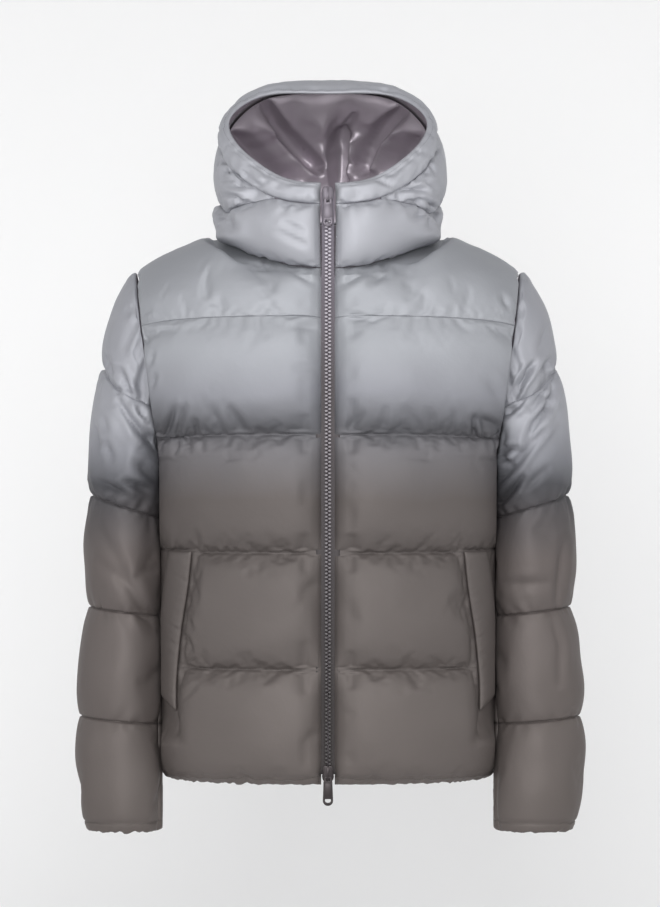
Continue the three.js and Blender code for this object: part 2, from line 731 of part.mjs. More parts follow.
// Two plates joined at the diamond, with the bail on the front one. The plates start at z = 0.
function sliderGeometry() {
  const { height, plate, channel, bailWidth, bailOut, bailBar, bailFoot } = sliderSize;
  const front = upright(plateShape(), plate, -channel - plate);
  const back = upright(plateShape(), plate, channel);
  const diamond = new THREE.BoxGeometry(3.6, 2 * channel + plate, 3);
  diamond.translate(0, 0, height - 1.5);
  const arch = new THREE.Shape();
  arch.moveTo(0, bailFoot);
  arch.lineTo(bailOut - 1.5, bailFoot);
  arch.quadraticCurveTo(bailOut, bailFoot, bailOut, bailFoot + 1.5);
  arch.lineTo(bailOut, bailTop - 2);
  arch.quadraticCurveTo(bailOut, bailTop, bailOut - 2, bailTop);
  arch.lineTo(0, bailTop);
  arch.closePath();
  const hole = new THREE.Path();
  const inside = bailOut - bailBar;
  hole.moveTo(0.05, bailFoot + bailBar);
  hole.lineTo(0.05, bailTop - bailBar);
  hole.lineTo(inside, bailTop - bailBar);
  hole.lineTo(inside, bailFoot + bailBar);
  hole.closePath();
  arch.holes.push(hole);
  const bail = new THREE.ExtrudeGeometry(arch, { depth: bailWidth, bevelEnabled: false, curveSegments: 4 });
  const outward = new THREE.Vector3(0, -1, 0);
  const up = new THREE.Vector3(0, 0, 1);
  bail.applyMatrix4(new THREE.Matrix4().makeBasis(outward, up, outward.clone().cross(up)));
  bail.translate(bailWidth / 2, -channel - plate + 0.1, 0);
  return geometryOf([back, diamond, bail].reduce((made, piece) => made.add(solidOf(piece)), solidOf(front)));
}

// The pull hangs from its pivot at the origin.
function pullGeometry() {
  const { length, topHalf, endHalf, thickness, barHeight, slotHalf, slotHeight } = pullSize;
  const top = barHeight / 2;
  const shape = new THREE.Shape();
  shape.moveTo(-slotHalf - 1.2, top);
  shape.lineTo(slotHalf + 1.2, top);
  shape.quadraticCurveTo(topHalf, top - 1, topHalf, -5);
  shape.lineTo(endHalf, -length + endHalf + top);
  shape.absarc(0, -length + endHalf + top, endHalf, 0, Math.PI, true);
  shape.lineTo(-topHalf, -5);
  shape.quadraticCurveTo(-topHalf, top - 1, -slotHalf - 1.2, top);
  const slot = new THREE.Path();
  slot.moveTo(-slotHalf, -top);
  slot.lineTo(-slotHalf, -top - slotHeight);
  slot.lineTo(slotHalf, -top - slotHeight);
  slot.lineTo(slotHalf, -top);
  slot.closePath();
  const eye = new THREE.Path();
  const eyeZ = -length + endHalf + top;
  eye.absellipse(0, eyeZ, 3.5, 2.3, 0, 2 * Math.PI, false, 0);
  shape.holes.push(slot, eye);
  return upright(shape, thickness, -thickness / 2);
}

const jacket = new THREE.Group();
const materials = {
  shell: new THREE.MeshStandardMaterial({ color: shellColor, roughness: 0.55 }),
  upperShell: new THREE.MeshStandardMaterial({ color: upperShellColor, roughness: 0.5 }),
  lining: new THREE.MeshStandardMaterial({ color: liningColor, roughness: 0.35 }),
  tape: new THREE.MeshStandardMaterial({ color: zipColor, roughness: 0.8 }),
  metal: new THREE.MeshStandardMaterial({ color: zipColor, roughness: 0.4, metalness: 0.6 }),
};

function add(name, geometry, material) {
  const mesh = new THREE.Mesh(geometry, material);
  mesh.name = name;
  jacket.add(mesh);
  return mesh;
}

// A piece for the wearer's left and its mirror image for the right.
function addPair(stem, geometry, material, tail = "") {
  add(`${stem}_left${tail}`, geometry, material);
  add(`${stem}_right${tail}`, mirrored(geometry), material);
}

addPair("front", frontPanel(), materials.shell);
addPair("front_yoke", yokePanel(-1), materials.upperShell);
add("back", backPanel(), materials.shell);
add("back_yoke", yokePanel(1), materials.upperShell);
const topSleeve = { from: -underSeamAngle, to: underSeamAngle, count: 17 };
const underSleeve = { from: underSeamAngle, to: 360 - underSeamAngle, count: 5 };
addPair("sleeve", sleevePanel({ ...topSleeve, tierCount: 2 }), materials.shell, "_top");
addPair("sleeve", sleevePanel({ ...topSleeve, firstSeam: 2, tierCount: 3 }), materials.shell, "_lower");
addPair("sleeve", sleevePanel({ ...underSleeve, tierCount: 5 }), materials.shell, "_under");
addPair("pocket_welt", pocketWelt(), materials.shell);
addPair("collar", collarPanel(), materials.upperShell);
addPair("hood_side", hoodSide(), materials.upperShell);
add("hood_center", hoodCenter(), materials.upperShell);
add("hood_band", hoodBand(), materials.upperShell);
add("hood_lining", hoodLining(), materials.lining);
addPair("zip_tape", zipTape(), materials.tape);

// The two sliders ride on the tapes; the pulls hang from their bails.
const sliders = [
  { name: "upper", bottomZ: 20.5, flipped: false },
  { name: "lower", bottomZ: -656, flipped: true },
];
for (const { name, bottomZ, flipped } of sliders) {
  const { height, channel, plate, bailBar, bailFoot } = sliderSize;
  const middle = bottomZ + height / 2;
  const y = tapeY(clamp(middle, -643, 28)) - tapeThickness / 2;
  const slider = add(`zip_slider_${name}`, sliderGeometry(), materials.metal);
  slider.position.set(0, y, flipped ? bottomZ + height : bottomZ);
  if (flipped) slider.rotation.y = Math.PI;
  const pull = add(`zip_pull_${name}`, pullGeometry(), materials.metal);
  const lowestBar = flipped ? height - bailTop : bailFoot;
  pull.position.set(0, y - channel - plate - pivotGap, bottomZ + lowestBar + bailBar + pullSize.barHeight / 2 + 0.4);
}

export default jacket;
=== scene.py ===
import math

import bmesh
import bpy
import numpy as np
from mathutils import Matrix, Vector


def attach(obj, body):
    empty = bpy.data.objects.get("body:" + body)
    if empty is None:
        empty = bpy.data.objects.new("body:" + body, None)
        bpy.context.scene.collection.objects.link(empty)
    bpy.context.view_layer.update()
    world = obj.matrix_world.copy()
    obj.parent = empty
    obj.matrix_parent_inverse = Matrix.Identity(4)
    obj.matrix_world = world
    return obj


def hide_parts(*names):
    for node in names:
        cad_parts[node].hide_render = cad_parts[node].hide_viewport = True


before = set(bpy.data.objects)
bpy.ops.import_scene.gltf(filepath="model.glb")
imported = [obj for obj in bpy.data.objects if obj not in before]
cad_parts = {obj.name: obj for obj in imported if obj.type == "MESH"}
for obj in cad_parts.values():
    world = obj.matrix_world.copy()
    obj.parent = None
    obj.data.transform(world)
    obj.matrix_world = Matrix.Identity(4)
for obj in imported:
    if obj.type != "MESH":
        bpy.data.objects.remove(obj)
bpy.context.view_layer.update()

# Shapes below are worked out in millimetres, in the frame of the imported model, and made in metres.
mm = 0.001
print("frame loaded:", len(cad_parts), "nodes")

# The cut of the body: plain inside of the walls, section by section
bodyCut = {
    "rows": [
        {"z": -660, "half": 188, "front": 121, "back": 120},
        {"z": -640, "half": 192, "front": 127, "back": 125},
        {"z": -526, "half": 195, "front": 132, "back": 126},
        {"z": -390, "half": 196, "front": 133, "back": 124},
        {"z": -276, "half": 196.5, "front": 134, "back": 128},
        {"z": -180, "half": 209, "front": 129, "back": 133},
        {"z": -116, "half": 217, "front": 117, "back": 131},
        {"z": -58, "half": 225, "front": 98, "back": 118},
    ],
    "quiltZ": [-660, -526, -390, -252, -116],
    "yokeDrop": 15,
    "roundness": 2.35,
    "zipEdge": 7.7,
    "sewnWall": 2.5,
    "puff": 16,
    "yokePuff": 11,
    "yokeSeamLift": 9.5,
    "shoulderShare": 0.12,
}

armhole = {"topZ": -58, "bottomZ": -276, "halfDepth": 76, "y": 2, "play": 0.12}

neckline = {
    "half": 96, "y": 6, "frontDepth": 108, "backDepth": 80,
    "frontZ": -57, "sideZ": -4, "backZ": 6, "share": 0.4,
}

sleeveCut = {
    "rows": [
        {"ring": 0, "outerX": 228.5, "outerZ": -58, "innerX": 201, "innerZ": -276, "centerY": 2, "depth": 75},
        {"ring": 0.25, "outerX": 247, "outerZ": -110, "innerX": 201.2, "innerZ": -285, "centerY": 2, "depth": 73},
        {"ring": 0.5, "outerX": 265, "outerZ": -174, "innerX": 201.2, "innerZ": -299, "centerY": 2, "depth": 70},
        {"ring": 0.75, "outerX": 273, "outerZ": -250, "innerX": 201.2, "innerZ": -322, "centerY": 1, "depth": 66},
        {"ring": 1, "outerX": 278.5, "outerZ": -324, "innerX": 201.2, "innerZ": -352, "centerY": 0, "depth": 62},
        {"ring": 2, "outerX": 280.5, "outerZ": -457, "innerX": 201.2, "innerZ": -468, "centerY": -3, "depth": 56},
        {"ring": 3, "outerX": 291, "outerZ": -587, "innerX": 201.2, "innerZ": -596, "centerY": -14, "depth": 50},
        {"ring": 4, "outerX": 282, "outerZ": -722, "innerX": 202.5, "innerZ": -722, "centerY": -32, "depth": 38},
    ],
    "capAngle": 117,
    "capLow": 0.04,
    "capRise": 0.46,
    "seamAngle": 158,
    "puff": 9.5,
}

hoodCut = {
    "rows": [
        {"angle": 0, "rimX": 0, "rimY": -99, "rimZ": 43, "lowX": 0, "lowY": -108, "lowZ": -24,
         "highX": 0, "highY": -107, "highZ": 14},
        {"angle": 30, "rimX": 52, "rimY": -91, "rimZ": 50, "lowX": 62, "lowY": -100, "lowZ": -20,
         "highX": 62, "highY": -99, "highZ": 20},
        {"angle": 60, "rimX": 99, "rimY": -62, "rimZ": 84, "lowX": 121, "lowY": -60, "lowZ": -6,
         "highX": 112, "highY": -66, "highZ": 47},
        {"angle": 90, "rimX": 118, "rimY": -28, "rimZ": 117, "lowX": 149, "lowY": 0, "lowZ": 8,
         "highX": 122, "highY": -22, "highZ": 78},
        {"angle": 120, "rimX": 104, "rimY": 2, "rimZ": 142, "lowX": 146, "lowY": 72, "lowZ": 8,
         "highX": 126, "highY": 60, "highZ": 127},
        {"angle": 150, "rimX": 66, "rimY": 30, "rimZ": 159, "lowX": 86, "lowY": 168, "lowZ": -2,
         "highX": 84, "highY": 142, "highZ": 196},
        {"angle": 180, "rimX": 0, "rimY": 42, "rimZ": 161, "lowX": 0, "lowY": 218, "lowZ": -14,
         "highX": 0, "highY": 188, "highZ": 220},
    ],
    "seamRows": [
        {"angle": 0, "collarTop": 0.735, "bandStart": 0.735},
        {"angle": 30, "collarTop": 0.735, "bandStart": 0.74},
        {"angle": 45, "collarTop": 0.6, "bandStart": 0.755},
        {"angle": 70, "collarTop": 0.36, "bandStart": 0.79},
        {"angle": 90, "collarTop": 0.33, "bandStart": 0.81},
        {"angle": 135, "collarTop": 0.26, "bandStart": 0.86},
        {"angle": 180, "collarTop": 0.24, "bandStart": 0.875},
    ],
    "tipAngle": 32,
    "centerAngle": 146,
    "collarPuff": 14,
    "hoodPuff": 12,
    "bandPuff": 8,
}

weltCut = {
    "rows": [
        {"z": -577, "seamX": 171, "edgeX": 187},
        {"z": -538, "seamX": 170.5, "edgeX": 189},
        {"z": -485, "seamX": 165.5, "edgeX": 189},
        {"z": -430, "seamX": 157.5, "edgeX": 185},
        {"z": -389, "seamX": 153.5, "edgeX": 179},
    ],
    "under": 5,
    "margin": 3,
    "clearance": 9.1,
    "slant": 16,
}

zipCut = {
    "tapeRows": [
        {"z": -648, "y": -128.6},
        {"z": -620, "y": -129.4},
        {"z": -526, "y": -133},
        {"z": -390, "y": -134.5},
        {"z": -276, "y": -135.5},
        {"z": -180, "y": -130.5},
        {"z": -116, "y": -119},
        {"z": -80, "y": -110},
        {"z": -57, "y": -106.5},
        {"z": -30, "y": -106.5},
        {"z": 5, "y": -107.2},
        {"z": 33, "y": -107.2},
    ],
    "tapeTo": 14,
    "tapeFront": 1.0,
    "tapeThick": 0.5,
    "pitch": 4.4,
    "toothHalf": 2.15,
    "toothAt": 1.95,
    "toothTall": 2.7,
    "toothDeep": 2.0,
    "firstZ": -636,
    "lastZ": 22,
}


def smooth(value, low, high):
    t = np.clip((value - low) / (high - low), 0, 1)
    return t * t * (3 - 2 * t)


# A smooth curve through one column of a table
def tableCurve(rows, key, name):
    x = np.array([row[key] for row in rows], float)
    y = np.array([row[name] for row in rows], float)
    before = np.maximum(np.arange(len(x)) - 1, 0)
    after = np.minimum(np.arange(len(x)) + 1, len(x) - 1)
    slope = (y[after] - y[before]) / (x[after] - x[before])

    def at(value):
        i = np.clip(np.searchsorted(x, value, side="left") - 1, 0, len(x) - 2)
        step = x[i + 1] - x[i]
        t = np.clip((value - x[i]) / step, 0, 1)
        rise = t * t * (3 - 2 * t)
        leave = t * (1 - t) ** 2 * step
        arrive = t * t * (1 - t) * step
        return y[i] + (y[i + 1] - y[i]) * rise + slope[i] * leave - slope[i + 1] * arrive

    return at


# Mirrored rows beyond both ends let a curve cross the centre smoothly
def bothSides(rows):
    def flip(row, angle):
        turned = {name: -value if name.endswith("X") else value for name, value in row.items()}
        return {**turned, "angle": angle}

    return [flip(rows[1], -rows[1]["angle"]), *rows, flip(rows[-2], 360 - rows[-2]["angle"])]


def curves(rows, key):
    return {name: tableCurve(rows, key, name) for name in rows[-1] if name != key}


body = curves(bodyCut["rows"], "z")
sleeve = curves(sleeveCut["rows"], "ring")
hood = curves(bothSides(hoodCut["rows"]), "angle")
seams = curves(bothSides(hoodCut["seamRows"]), "angle")
welt = curves(weltCut["rows"], "z")
tapeY = curves(zipCut["tapeRows"], "z")["y"]
armholeMiddle = (armhole["topZ"] + armhole["bottomZ"]) / 2
armholeHalf = (armhole["topZ"] - armhole["bottomZ"]) / 2
tierCount = len(bodyCut["quiltZ"]) - 1


def vec(x, y, z):
    return np.stack(np.broadcast_arrays(x, y, z), axis=-1).astype(float)


# The surface that parts the body from a sleeve
def partingX(z):
    below = 200 + (z - armhole["bottomZ"]) * 0.0065
    above = 200 + (z - armhole["bottomZ"]) * 28 / (armhole["topZ"] - armhole["bottomZ"])
    return np.where(z < armhole["bottomZ"], below, above)


def quarter(u):
    angle = np.clip(u, 0, 1) * math.pi / 2
    power = 2 / bodyCut["roundness"]
    return np.sin(angle) ** power, np.maximum(np.cos(angle), 0) ** power


def bodyEdge(z, facing):
    height = np.clip((z - armholeMiddle) / armholeHalf, -1, 1)
    depth = armhole["halfDepth"] * np.sqrt(1 - height**2)
    low = z < armhole["bottomZ"]
    x = np.where(low, body["half"](z), partingX(z) - 0.2)
    y = np.where(low, armhole["y"], armhole["y"] + facing * depth)
    return vec(x, y, z)


# The armhole draws the panel in near its edge only, so the chest stays round
def softDepth(z):
    height = np.clip((z - armholeMiddle) / armholeHalf, 0, 1)
    return armhole["halfDepth"] * smooth(z, -310, -200) * np.sqrt(1 - height**2)


def sideOf(u):
    return np.where(u < 0, -1.0, 1.0)


# A point of the front (facing -1) or the back (facing 1)
def bodyPoint(facing, u, level):
    side = np.abs(u)
    seamZ = np.interp(level, np.arange(tierCount + 1), bodyCut["quiltZ"])
    z = seamZ - bodyCut["yokeDrop"] * smooth(seamZ, -330, bodyCut["quiltZ"][-1]) * side**2
    edge = bodyEdge(z, facing)
    softEdge = armhole["y"] + facing * softDepth(z)
    depth = facing * (body["front"](seamZ) if facing < 0 else body["back"](seamZ))
    across, along = quarter(side)
    start = bodyCut["zipEdge"] if facing < 0 else 0
    x = start + (edge[..., 0] - start) * across
    y = softEdge + (depth - softEdge) * along + (edge[..., 1] - softEdge) * smooth(side, 0.72, 1)
    return vec(sideOf(u) * x, y, z)


def neckPoint(angle):
    turn = np.radians(angle)
    forward = np.cos(turn)
    n = neckline
    inFront = forward > 0
    y = n["y"] - np.where(inFront, n["frontDepth"], n["backDepth"]) * forward
    front = n["frontZ"] + (n["sideZ"] - n["frontZ"]) * (1 - forward)
    back = n["sideZ"] + (n["backZ"] - n["sideZ"]) * np.maximum(-forward, 0) ** 1.5
    return vec(n["half"] * np.sin(turn), y, np.where(inFront, front, back))


zipAngle = math.degrees(math.asin(bodyCut["zipEdge"] / neckline["half"]))


def yokeTop(facing, side):
    start = zipAngle if facing < 0 else 180
    neck = neckPoint(start + (90 - start) * np.clip(side / neckline["share"], 0, 1))
    share = np.clip((side - neckline["share"]) / (1 - neckline["share"]), 0, 1)[..., None]
    tip = np.array([float(partingX(np.array(armhole["topZ"]))) - 0.5, armhole["y"], armhole["topZ"]])
    shoulder = neckPoint(np.array(90.0)) * (1 - share) + tip * share
    return np.where((side < neckline["share"])[..., None], neck, shoulder)


def yokePoint(facing, u, v):
    side = np.abs(u)
    start = bodyPoint(facing, side, np.full_like(side, tierCount))
    end = yokeTop(facing, side)
    reach = np.linalg.norm(end - start, axis=-1)
    over = smooth(side, 0, neckline["share"])
    step = end[..., 0] - start[..., 0]
    leave = start - bodyPoint(facing, side, np.full_like(side, tierCount - 0.01))
    leave *= (reach / np.linalg.norm(leave, axis=-1))[..., None]
    arrive = vec(step, -facing * reach * (0.45 + 0.75 * over), reach * (0.85 - 0.55 * over))
    t = v[..., None]
    rise = t * t * (3 - 2 * t)
    point = start * (1 - rise) + end * rise + leave * t * (1 - t) ** 2 - arrive * t * t * (1 - t)
    onArmhole = bodyEdge(start[..., 2] * (1 - v) + armhole["topZ"] * v, facing)
    blend = smooth(side, 0.72, 1)[..., None]
    point = point * (1 - blend) + onArmhole * blend
    point[..., 0] *= sideOf(u)
    return point


def sleevePoint(angle, level):
    turned = np.abs(np.where(angle > 180, angle - 360, angle))
    rise = np.clip(1 - (turned / sleeveCut["capAngle"]) ** 4, 0, 1)
    cap = sleeveCut["capLow"] + sleeveCut["capRise"] * rise
    ring = np.where(level < 1, level * cap, np.where(level < 2, cap + (1 - cap) * (level - 1), level - 1))
    outer = vec(sleeve["outerX"](ring), 0, sleeve["outerZ"](ring))
    inner = vec(sleeve["innerX"](ring), 0, sleeve["innerZ"](ring))
    turn = np.radians(angle)
    point = inner + (outer - inner) * (0.5 + np.cos(turn) / 2)[..., None]
    point[..., 1] = sleeve["centerY"](ring) - sleeve["depth"](ring) * np.sin(turn)
    return point


def hoodPoint(angle, t):
    at = np.where(angle > 180, 360 - angle, angle)
    low = vec(hood["lowX"](at), hood["lowY"](at), hood["lowZ"](at))
    high = vec(hood["highX"](at), hood["highY"](at), hood["highZ"](at))
    rim = vec(hood["rimX"](at), hood["rimY"](at), hood["rimZ"](at))
    s = t[..., None]
    point = neckPoint(at) * (1 - s) ** 3 + low * 3 * s * (1 - s) ** 2 + high * 3 * s * s * (1 - s) + rim * s**3
    point[..., 0] *= np.where(angle > 180, -1, 1)
    return point


# The cone that parts the hood from the shoulders
def neckPartingZ(points):
    n = neckline
    angle = np.degrees(np.arctan2(np.abs(points[..., 0]), n["y"] - points[..., 1]))
    neck = neckPoint(angle)
    radius = np.hypot(points[..., 0], points[..., 1] - n["y"])
    beyond = radius - np.hypot(neck[..., 0], neck[..., 1] - n["y"])
    slope = 0.36 - 0.12 * np.maximum(0, np.cos(np.radians(angle))) ** 3
    away = 60 * smooth(radius, 135, 175)
    return neck[..., 2] + 0.7 - slope * np.clip(beyond, 0, 60), away


def keepBody(points, extra=0):
    reach = partingX(points[..., 2]) - armhole["play"] - extra
    points[..., 0] = np.clip(points[..., 0], -reach, reach)
    top, away = neckPartingZ(points)
    near = points[..., 2] > -110
    points[..., 2] = np.where(near, np.minimum(points[..., 2], top + away - 0.3 - extra), points[..., 2])


def keepFront(points, extra=0):
    keepBody(points, extra)
    points[..., 0] = np.maximum(points[..., 0], bodyCut["zipEdge"])


def keepSleeve(points, extra=0):
    points[..., 0] = np.maximum(points[..., 0], partingX(points[..., 2]) + armhole["play"] + extra)


def keepHood(points, extra=0):
    bottom, away = neckPartingZ(points)
    low = points[..., 2] < 40
    points[..., 2] = np.where(low, np.maximum(points[..., 2], bottom - away + 0.5 + extra), points[..., 2])
    edge = (points[..., 1] < -60) & (np.abs(points[..., 0]) < bodyCut["zipEdge"])
    points[..., 0] = np.where(edge, bodyCut["zipEdge"] * sideOf(points[..., 0]), points[..., 0])


# Soft unevenness: waves in several directions, about size mm long, from -1 to 1
def softNoise(points, size, seed, waves=9):
    picks = np.random.default_rng(seed)
    total = np.zeros(points.shape[:-1])
    for _ in range(waves):
        direction = picks.normal(size=3)
        direction /= np.linalg.norm(direction)
        length = size * picks.uniform(0.7, 1.6)
        total += np.sin(points @ direction * (2 * math.pi / length) + picks.uniform(0, 2 * math.pi))
    return total / math.sqrt(waves * 2)


# Gathers along a seam: narrow valleys of uneven spacing, at a distance along it
def gathers(along, spacing, seed):
    picks = np.random.default_rng(seed)
    total = np.zeros_like(along)
    for share in (0.55, 0.8, 1.0, 1.45, 2.1):
        wave = along * (math.pi / (spacing * share)) + picks.uniform(0, math.pi)
        drift = 1.3 * np.sin(along / (spacing * 3.7) + picks.uniform(0, 6))
        total += np.abs(np.sin(wave + drift)) - 0.64
    strength = 0.62 + 0.5 * np.sin(along / 47 + picks.uniform(0, 6)) * np.sin(along / 19 + picks.uniform(0, 6))
    return total / 1.6 * np.clip(strength, 0.12, 1.2)


def pillow(share):
    return (1 - np.abs(2 * np.clip(share, 0, 1) - 1) ** 2.6) ** 0.62


def swell(distance, reach):
    return np.sqrt(1 - (1 - np.clip(distance / reach, 0, 1)) ** 2)


# Length along a grid of points, in its first or second direction
def runLength(points, axis):
    steps = np.linalg.norm(np.diff(points, axis=axis), axis=-1)
    total = np.cumsum(steps, axis=axis)
    pad = [(0, 0), (0, 0)]
    pad[axis] = (1, 0)
    return np.pad(total, pad)


def gridNormals(point, u, v):
    du = (u.max() - u.min()) * 0.002
    dv = (v.max() - v.min()) * 0.002
    u0, u1 = np.maximum(u - du, u.min()), np.minimum(u + du, u.max())
    v0, v1 = np.maximum(v - dv, v.min()), np.minimum(v + dv, v.max())
    normal = np.cross(point(u1, v) - point(u0, v), point(u, v1) - point(u, v0))
    return normal / np.linalg.norm(normal, axis=-1, keepdims=True)


# Stations close together beside each seam and evenly spread between
def tierStations(tiers, perTier, first=0):
    t = np.arange(perTier) / perTier
    eased = t + 0.09 * np.sin(2 * math.pi * t) * -1
    levels = np.concatenate([first + tier + eased for tier in range(tiers)])
    return np.append(levels, first + tiers)


def trimEdges(points, gap):
    def drawIn(edge, following):
        toward = following - edge
        return edge + toward * (gap / 2 / np.maximum(np.linalg.norm(toward, axis=-1, keepdims=True), 1e-6))

    points[:, 0] = drawIn(points[:, 0], points[:, 1])
    points[:, -1] = drawIn(points[:, -1], points[:, -2])
    points[0] = drawIn(points[0], points[1])
    points[-1] = drawIn(points[-1], points[-2])


# Every padded piece is drafted first, simulated with the others and made into a mesh last
drafts = []


def draft(name, nodes, point, u, v, lift, keep, side, slot, finish, seamRows, seed, hold, look,
          creases=""):
    uu, vv = np.meshgrid(u, v, indexing="ij")
    base = point(uu, vv)
    normals = gridNormals(point, uu, vv)
    raised = bodyCut["sewnWall"] + lift(uu, vv, base)
    outer = base + normals * raised[..., None]
    inner = base.copy()
    keep(inner, 1.6)
    if slot == "shell_upper" and finish == "body":
        top, away = neckPartingZ(outer)
        soft = 7 - 6.2 * smooth(vv, 0.8, 1)
        under = np.clip((top + away - outer[..., 2]) / soft, -20, 20)
        outer[..., 2] -= soft * np.log1p(np.exp(-under)) * smooth(outer[..., 2], -112, -80)
        toTip = smooth(np.abs(uu), 0.72, 1) * smooth(vv, 0.5, 1)
        outer[..., 2] -= 4.5 * toTip
        inner[..., 2] -= 2.5 * toTip
    x = outer[..., 0]
    if look == "sleeve" and side > 0:
        x += 0.06 * np.maximum(x - 215, 0)
    if look == "hood" and slot == "shell_upper" and name != "hood_center_cloth":
        x -= (0.28 if side < 0 else 0.1) * np.maximum(x - 108, 0)
    if look == "collar":
        x += 12 * np.exp(-(((outer[..., 2] + 21) / 10) ** 2)) * smooth(x, 85, 118)
    keep(outer)
    pins = np.zeros(uu.shape)
    pins[0] = pins[-1] = 1
    pins[:, 0] = pins[:, -1] = 1
    for row in seamRows:
        pins[:, np.argmin(np.abs(v - row))] = 1
    if hold is not None:
        pins[hold(base)] = 1
    drafts.append({"name": name, "nodes": nodes, "base": base, "inner": inner, "outer": outer, "pins": pins,
                   "keep": keep, "side": side, "slot": slot, "finish": finish, "fill": 0.6, "seed": seed,
                   "u": uu, "v": vv, "look": look, "creases": creases})


# Body panels
spacing = 5.2

# Puckers beside each seam: "row" is a seam across the piece, "column" one up its side, "outward" the share that
# the seam keeps in the middle of the front
gatherLook = {
    "front": [
        {"row": 4, "deep": 0.35, "spacing": 16, "longest": 9},
        {"row": 3, "deep": 3.2, "spacing": 11, "longest": 26, "outward": 0.14},
        {"row": 2, "deep": 2.0, "spacing": 13, "longest": 18, "outward": 0.45},
        {"row": 1, "deep": 1.7, "spacing": 14, "longest": 16, "outward": 0.45},
        {"row": 0, "deep": 1.8, "spacing": 10, "longest": 12},
        {"column": 0, "deep": 1.3, "spacing": 11, "longest": 9},
        {"column": 1, "deep": 3.0, "spacing": 9, "longest": 13},
    ],
    "back": [
        {"row": 4, "deep": 0.5, "spacing": 14, "longest": 10},
        {"row": 3, "deep": 2.6, "spacing": 12, "longest": 24},
        {"row": 2, "deep": 2.0, "spacing": 14, "longest": 18},
        {"row": 1, "deep": 1.6, "spacing": 15, "longest": 16},
        {"row": 0, "deep": 1.8, "spacing": 10, "longest": 12},
        {"column": -1, "deep": 2.6, "spacing": 10, "longest": 13},
        {"column": 1, "deep": 2.6, "spacing": 10, "longest": 13},
    ],
    "yoke": [
        {"row": 0, "deep": 0.35, "spacing": 16, "longest": 9},
        {"row": 1, "deep": 1.5, "spacing": 13, "longest": 14},
        {"column": 1, "deep": 3.2, "spacing": 9, "longest": 14},
    ],
    "backYoke": [
        {"row": 0, "deep": 0.5, "spacing": 15, "longest": 10},
        {"row": 1, "deep": 1.5, "spacing": 13, "longest": 14},
        {"column": -1, "deep": 2.8, "spacing": 10, "longest": 14},
        {"column": 1, "deep": 2.8, "spacing": 10, "longest": 14},
    ],
    "sleeve": [
        {"row": 0, "deep": 2.8, "spacing": 9, "longest": 15},
        {"row": 1, "deep": 3.6, "spacing": 9, "longest": 27},
        {"row": 2, "deep": 3.5, "spacing": 10, "longest": 26},
        {"row": 3, "deep": 2.6, "spacing": 11, "longest": 18},
        {"row": 4, "deep": 2.4, "spacing": 11, "longest": 17},
        {"row": 5, "deep": 2.0, "spacing": 10, "longest": 12},
    ],
    "collar": [
        {"row": 0, "deep": 2.0, "spacing": 11, "longest": 16},
        {"row": 1, "deep": 3.0, "spacing": 9, "longest": 18},
    ],
    "hood": [
        {"row": 0, "deep": 3.4, "spacing": 9, "longest": 20},
        {"row": 1, "deep": 2.0, "spacing": 10, "longest": 14},
        {"column": 146, "deep": 1.8, "spacing": 12, "longest": 14},
        {"column": 214, "deep": 1.8, "spacing": 12, "longest": 14},
    ],
    "band": [
        {"row": 0, "deep": 2.3, "spacing": 8, "longest": 13},
        {"row": 1, "deep": 0.9, "spacing": 9, "longest": 9},
    ],
}

# Rows of stitches: in a seam, or so many mm beside it
sewnLook = {
    "front": [{"row": 3}, {"row": 2}, {"row": 1}, {"column": 0, "off": 3.2}, {"row": 0, "off": 12}],
    "back": [{"row": 3}, {"row": 2}, {"row": 1}, {"row": 0, "off": 12}],
    "yoke": [{"column": 0, "off": 3.2}],
    "sleeve": [{"row": 1}, {"row": 2}, {"row": 3}, {"row": 4}, {"row": 5, "off": 12}],
    "collar": [{"column": zipAngle, "off": 3.2}],
    "band": [{"row": 1, "off": 5}],
}


# The pocket welt presses the front flat
def underWelt(base):
    z = base[..., 2]
    rows = weltCut["rows"]
    return (base[..., 0] > welt["seamX"](z) - 2) & (z < rows[-1]["z"] + 2) & (z > rows[0]["z"] - 8)


# The highest tier stays full up to the yoke seam, which is barely drawn in
def tierPillow(level):
    atYoke = bodyCut["yokeSeamLift"] / bodyCut["puff"]
    return np.maximum(pillow(level % 1), np.where(level > tierCount - 0.5, atYoke, 0))


def frontLift(seed):
    def lift(u, level, base):
        share = level % 1
        z = base[..., 2]
        rows = weltCut["rows"]
        before = welt["seamX"](np.clip(z, rows[0]["z"], rows[-1]["z"])) - weltCut["margin"] - base[..., 0]
        below = smooth(rows[0]["z"] - z, 12, 40)
        open = np.maximum(below, swell(before, 18))
        open = np.where((z > rows[-1]["z"]) | (z < rows[0]["z"] - 40), 1, open)
        sides = swell(230 * (1 - u), 26) * swell(190 * u**0.87, 30)
        puff = bodyCut["puff"] * tierPillow(level) * sides
        flat = weltCut["under"] * swell(230 * (1 - u), 20)
        raised = np.where(open < 1, np.maximum(puff * open, flat * (1 - open)), puff)
        return raised + 1.1 * softNoise(base, 60, seed) * pillow(share) * sides * open

    return lift


def backLift(seed):
    def lift(u, level, base):
        share = level % 1
        sides = swell(230 * (1 - np.abs(u)), 26)
        raised = bodyCut["puff"] * tierPillow(level) * sides
        return raised + 1.3 * softNoise(base, 65, seed) * pillow(share) * sides

    return lift


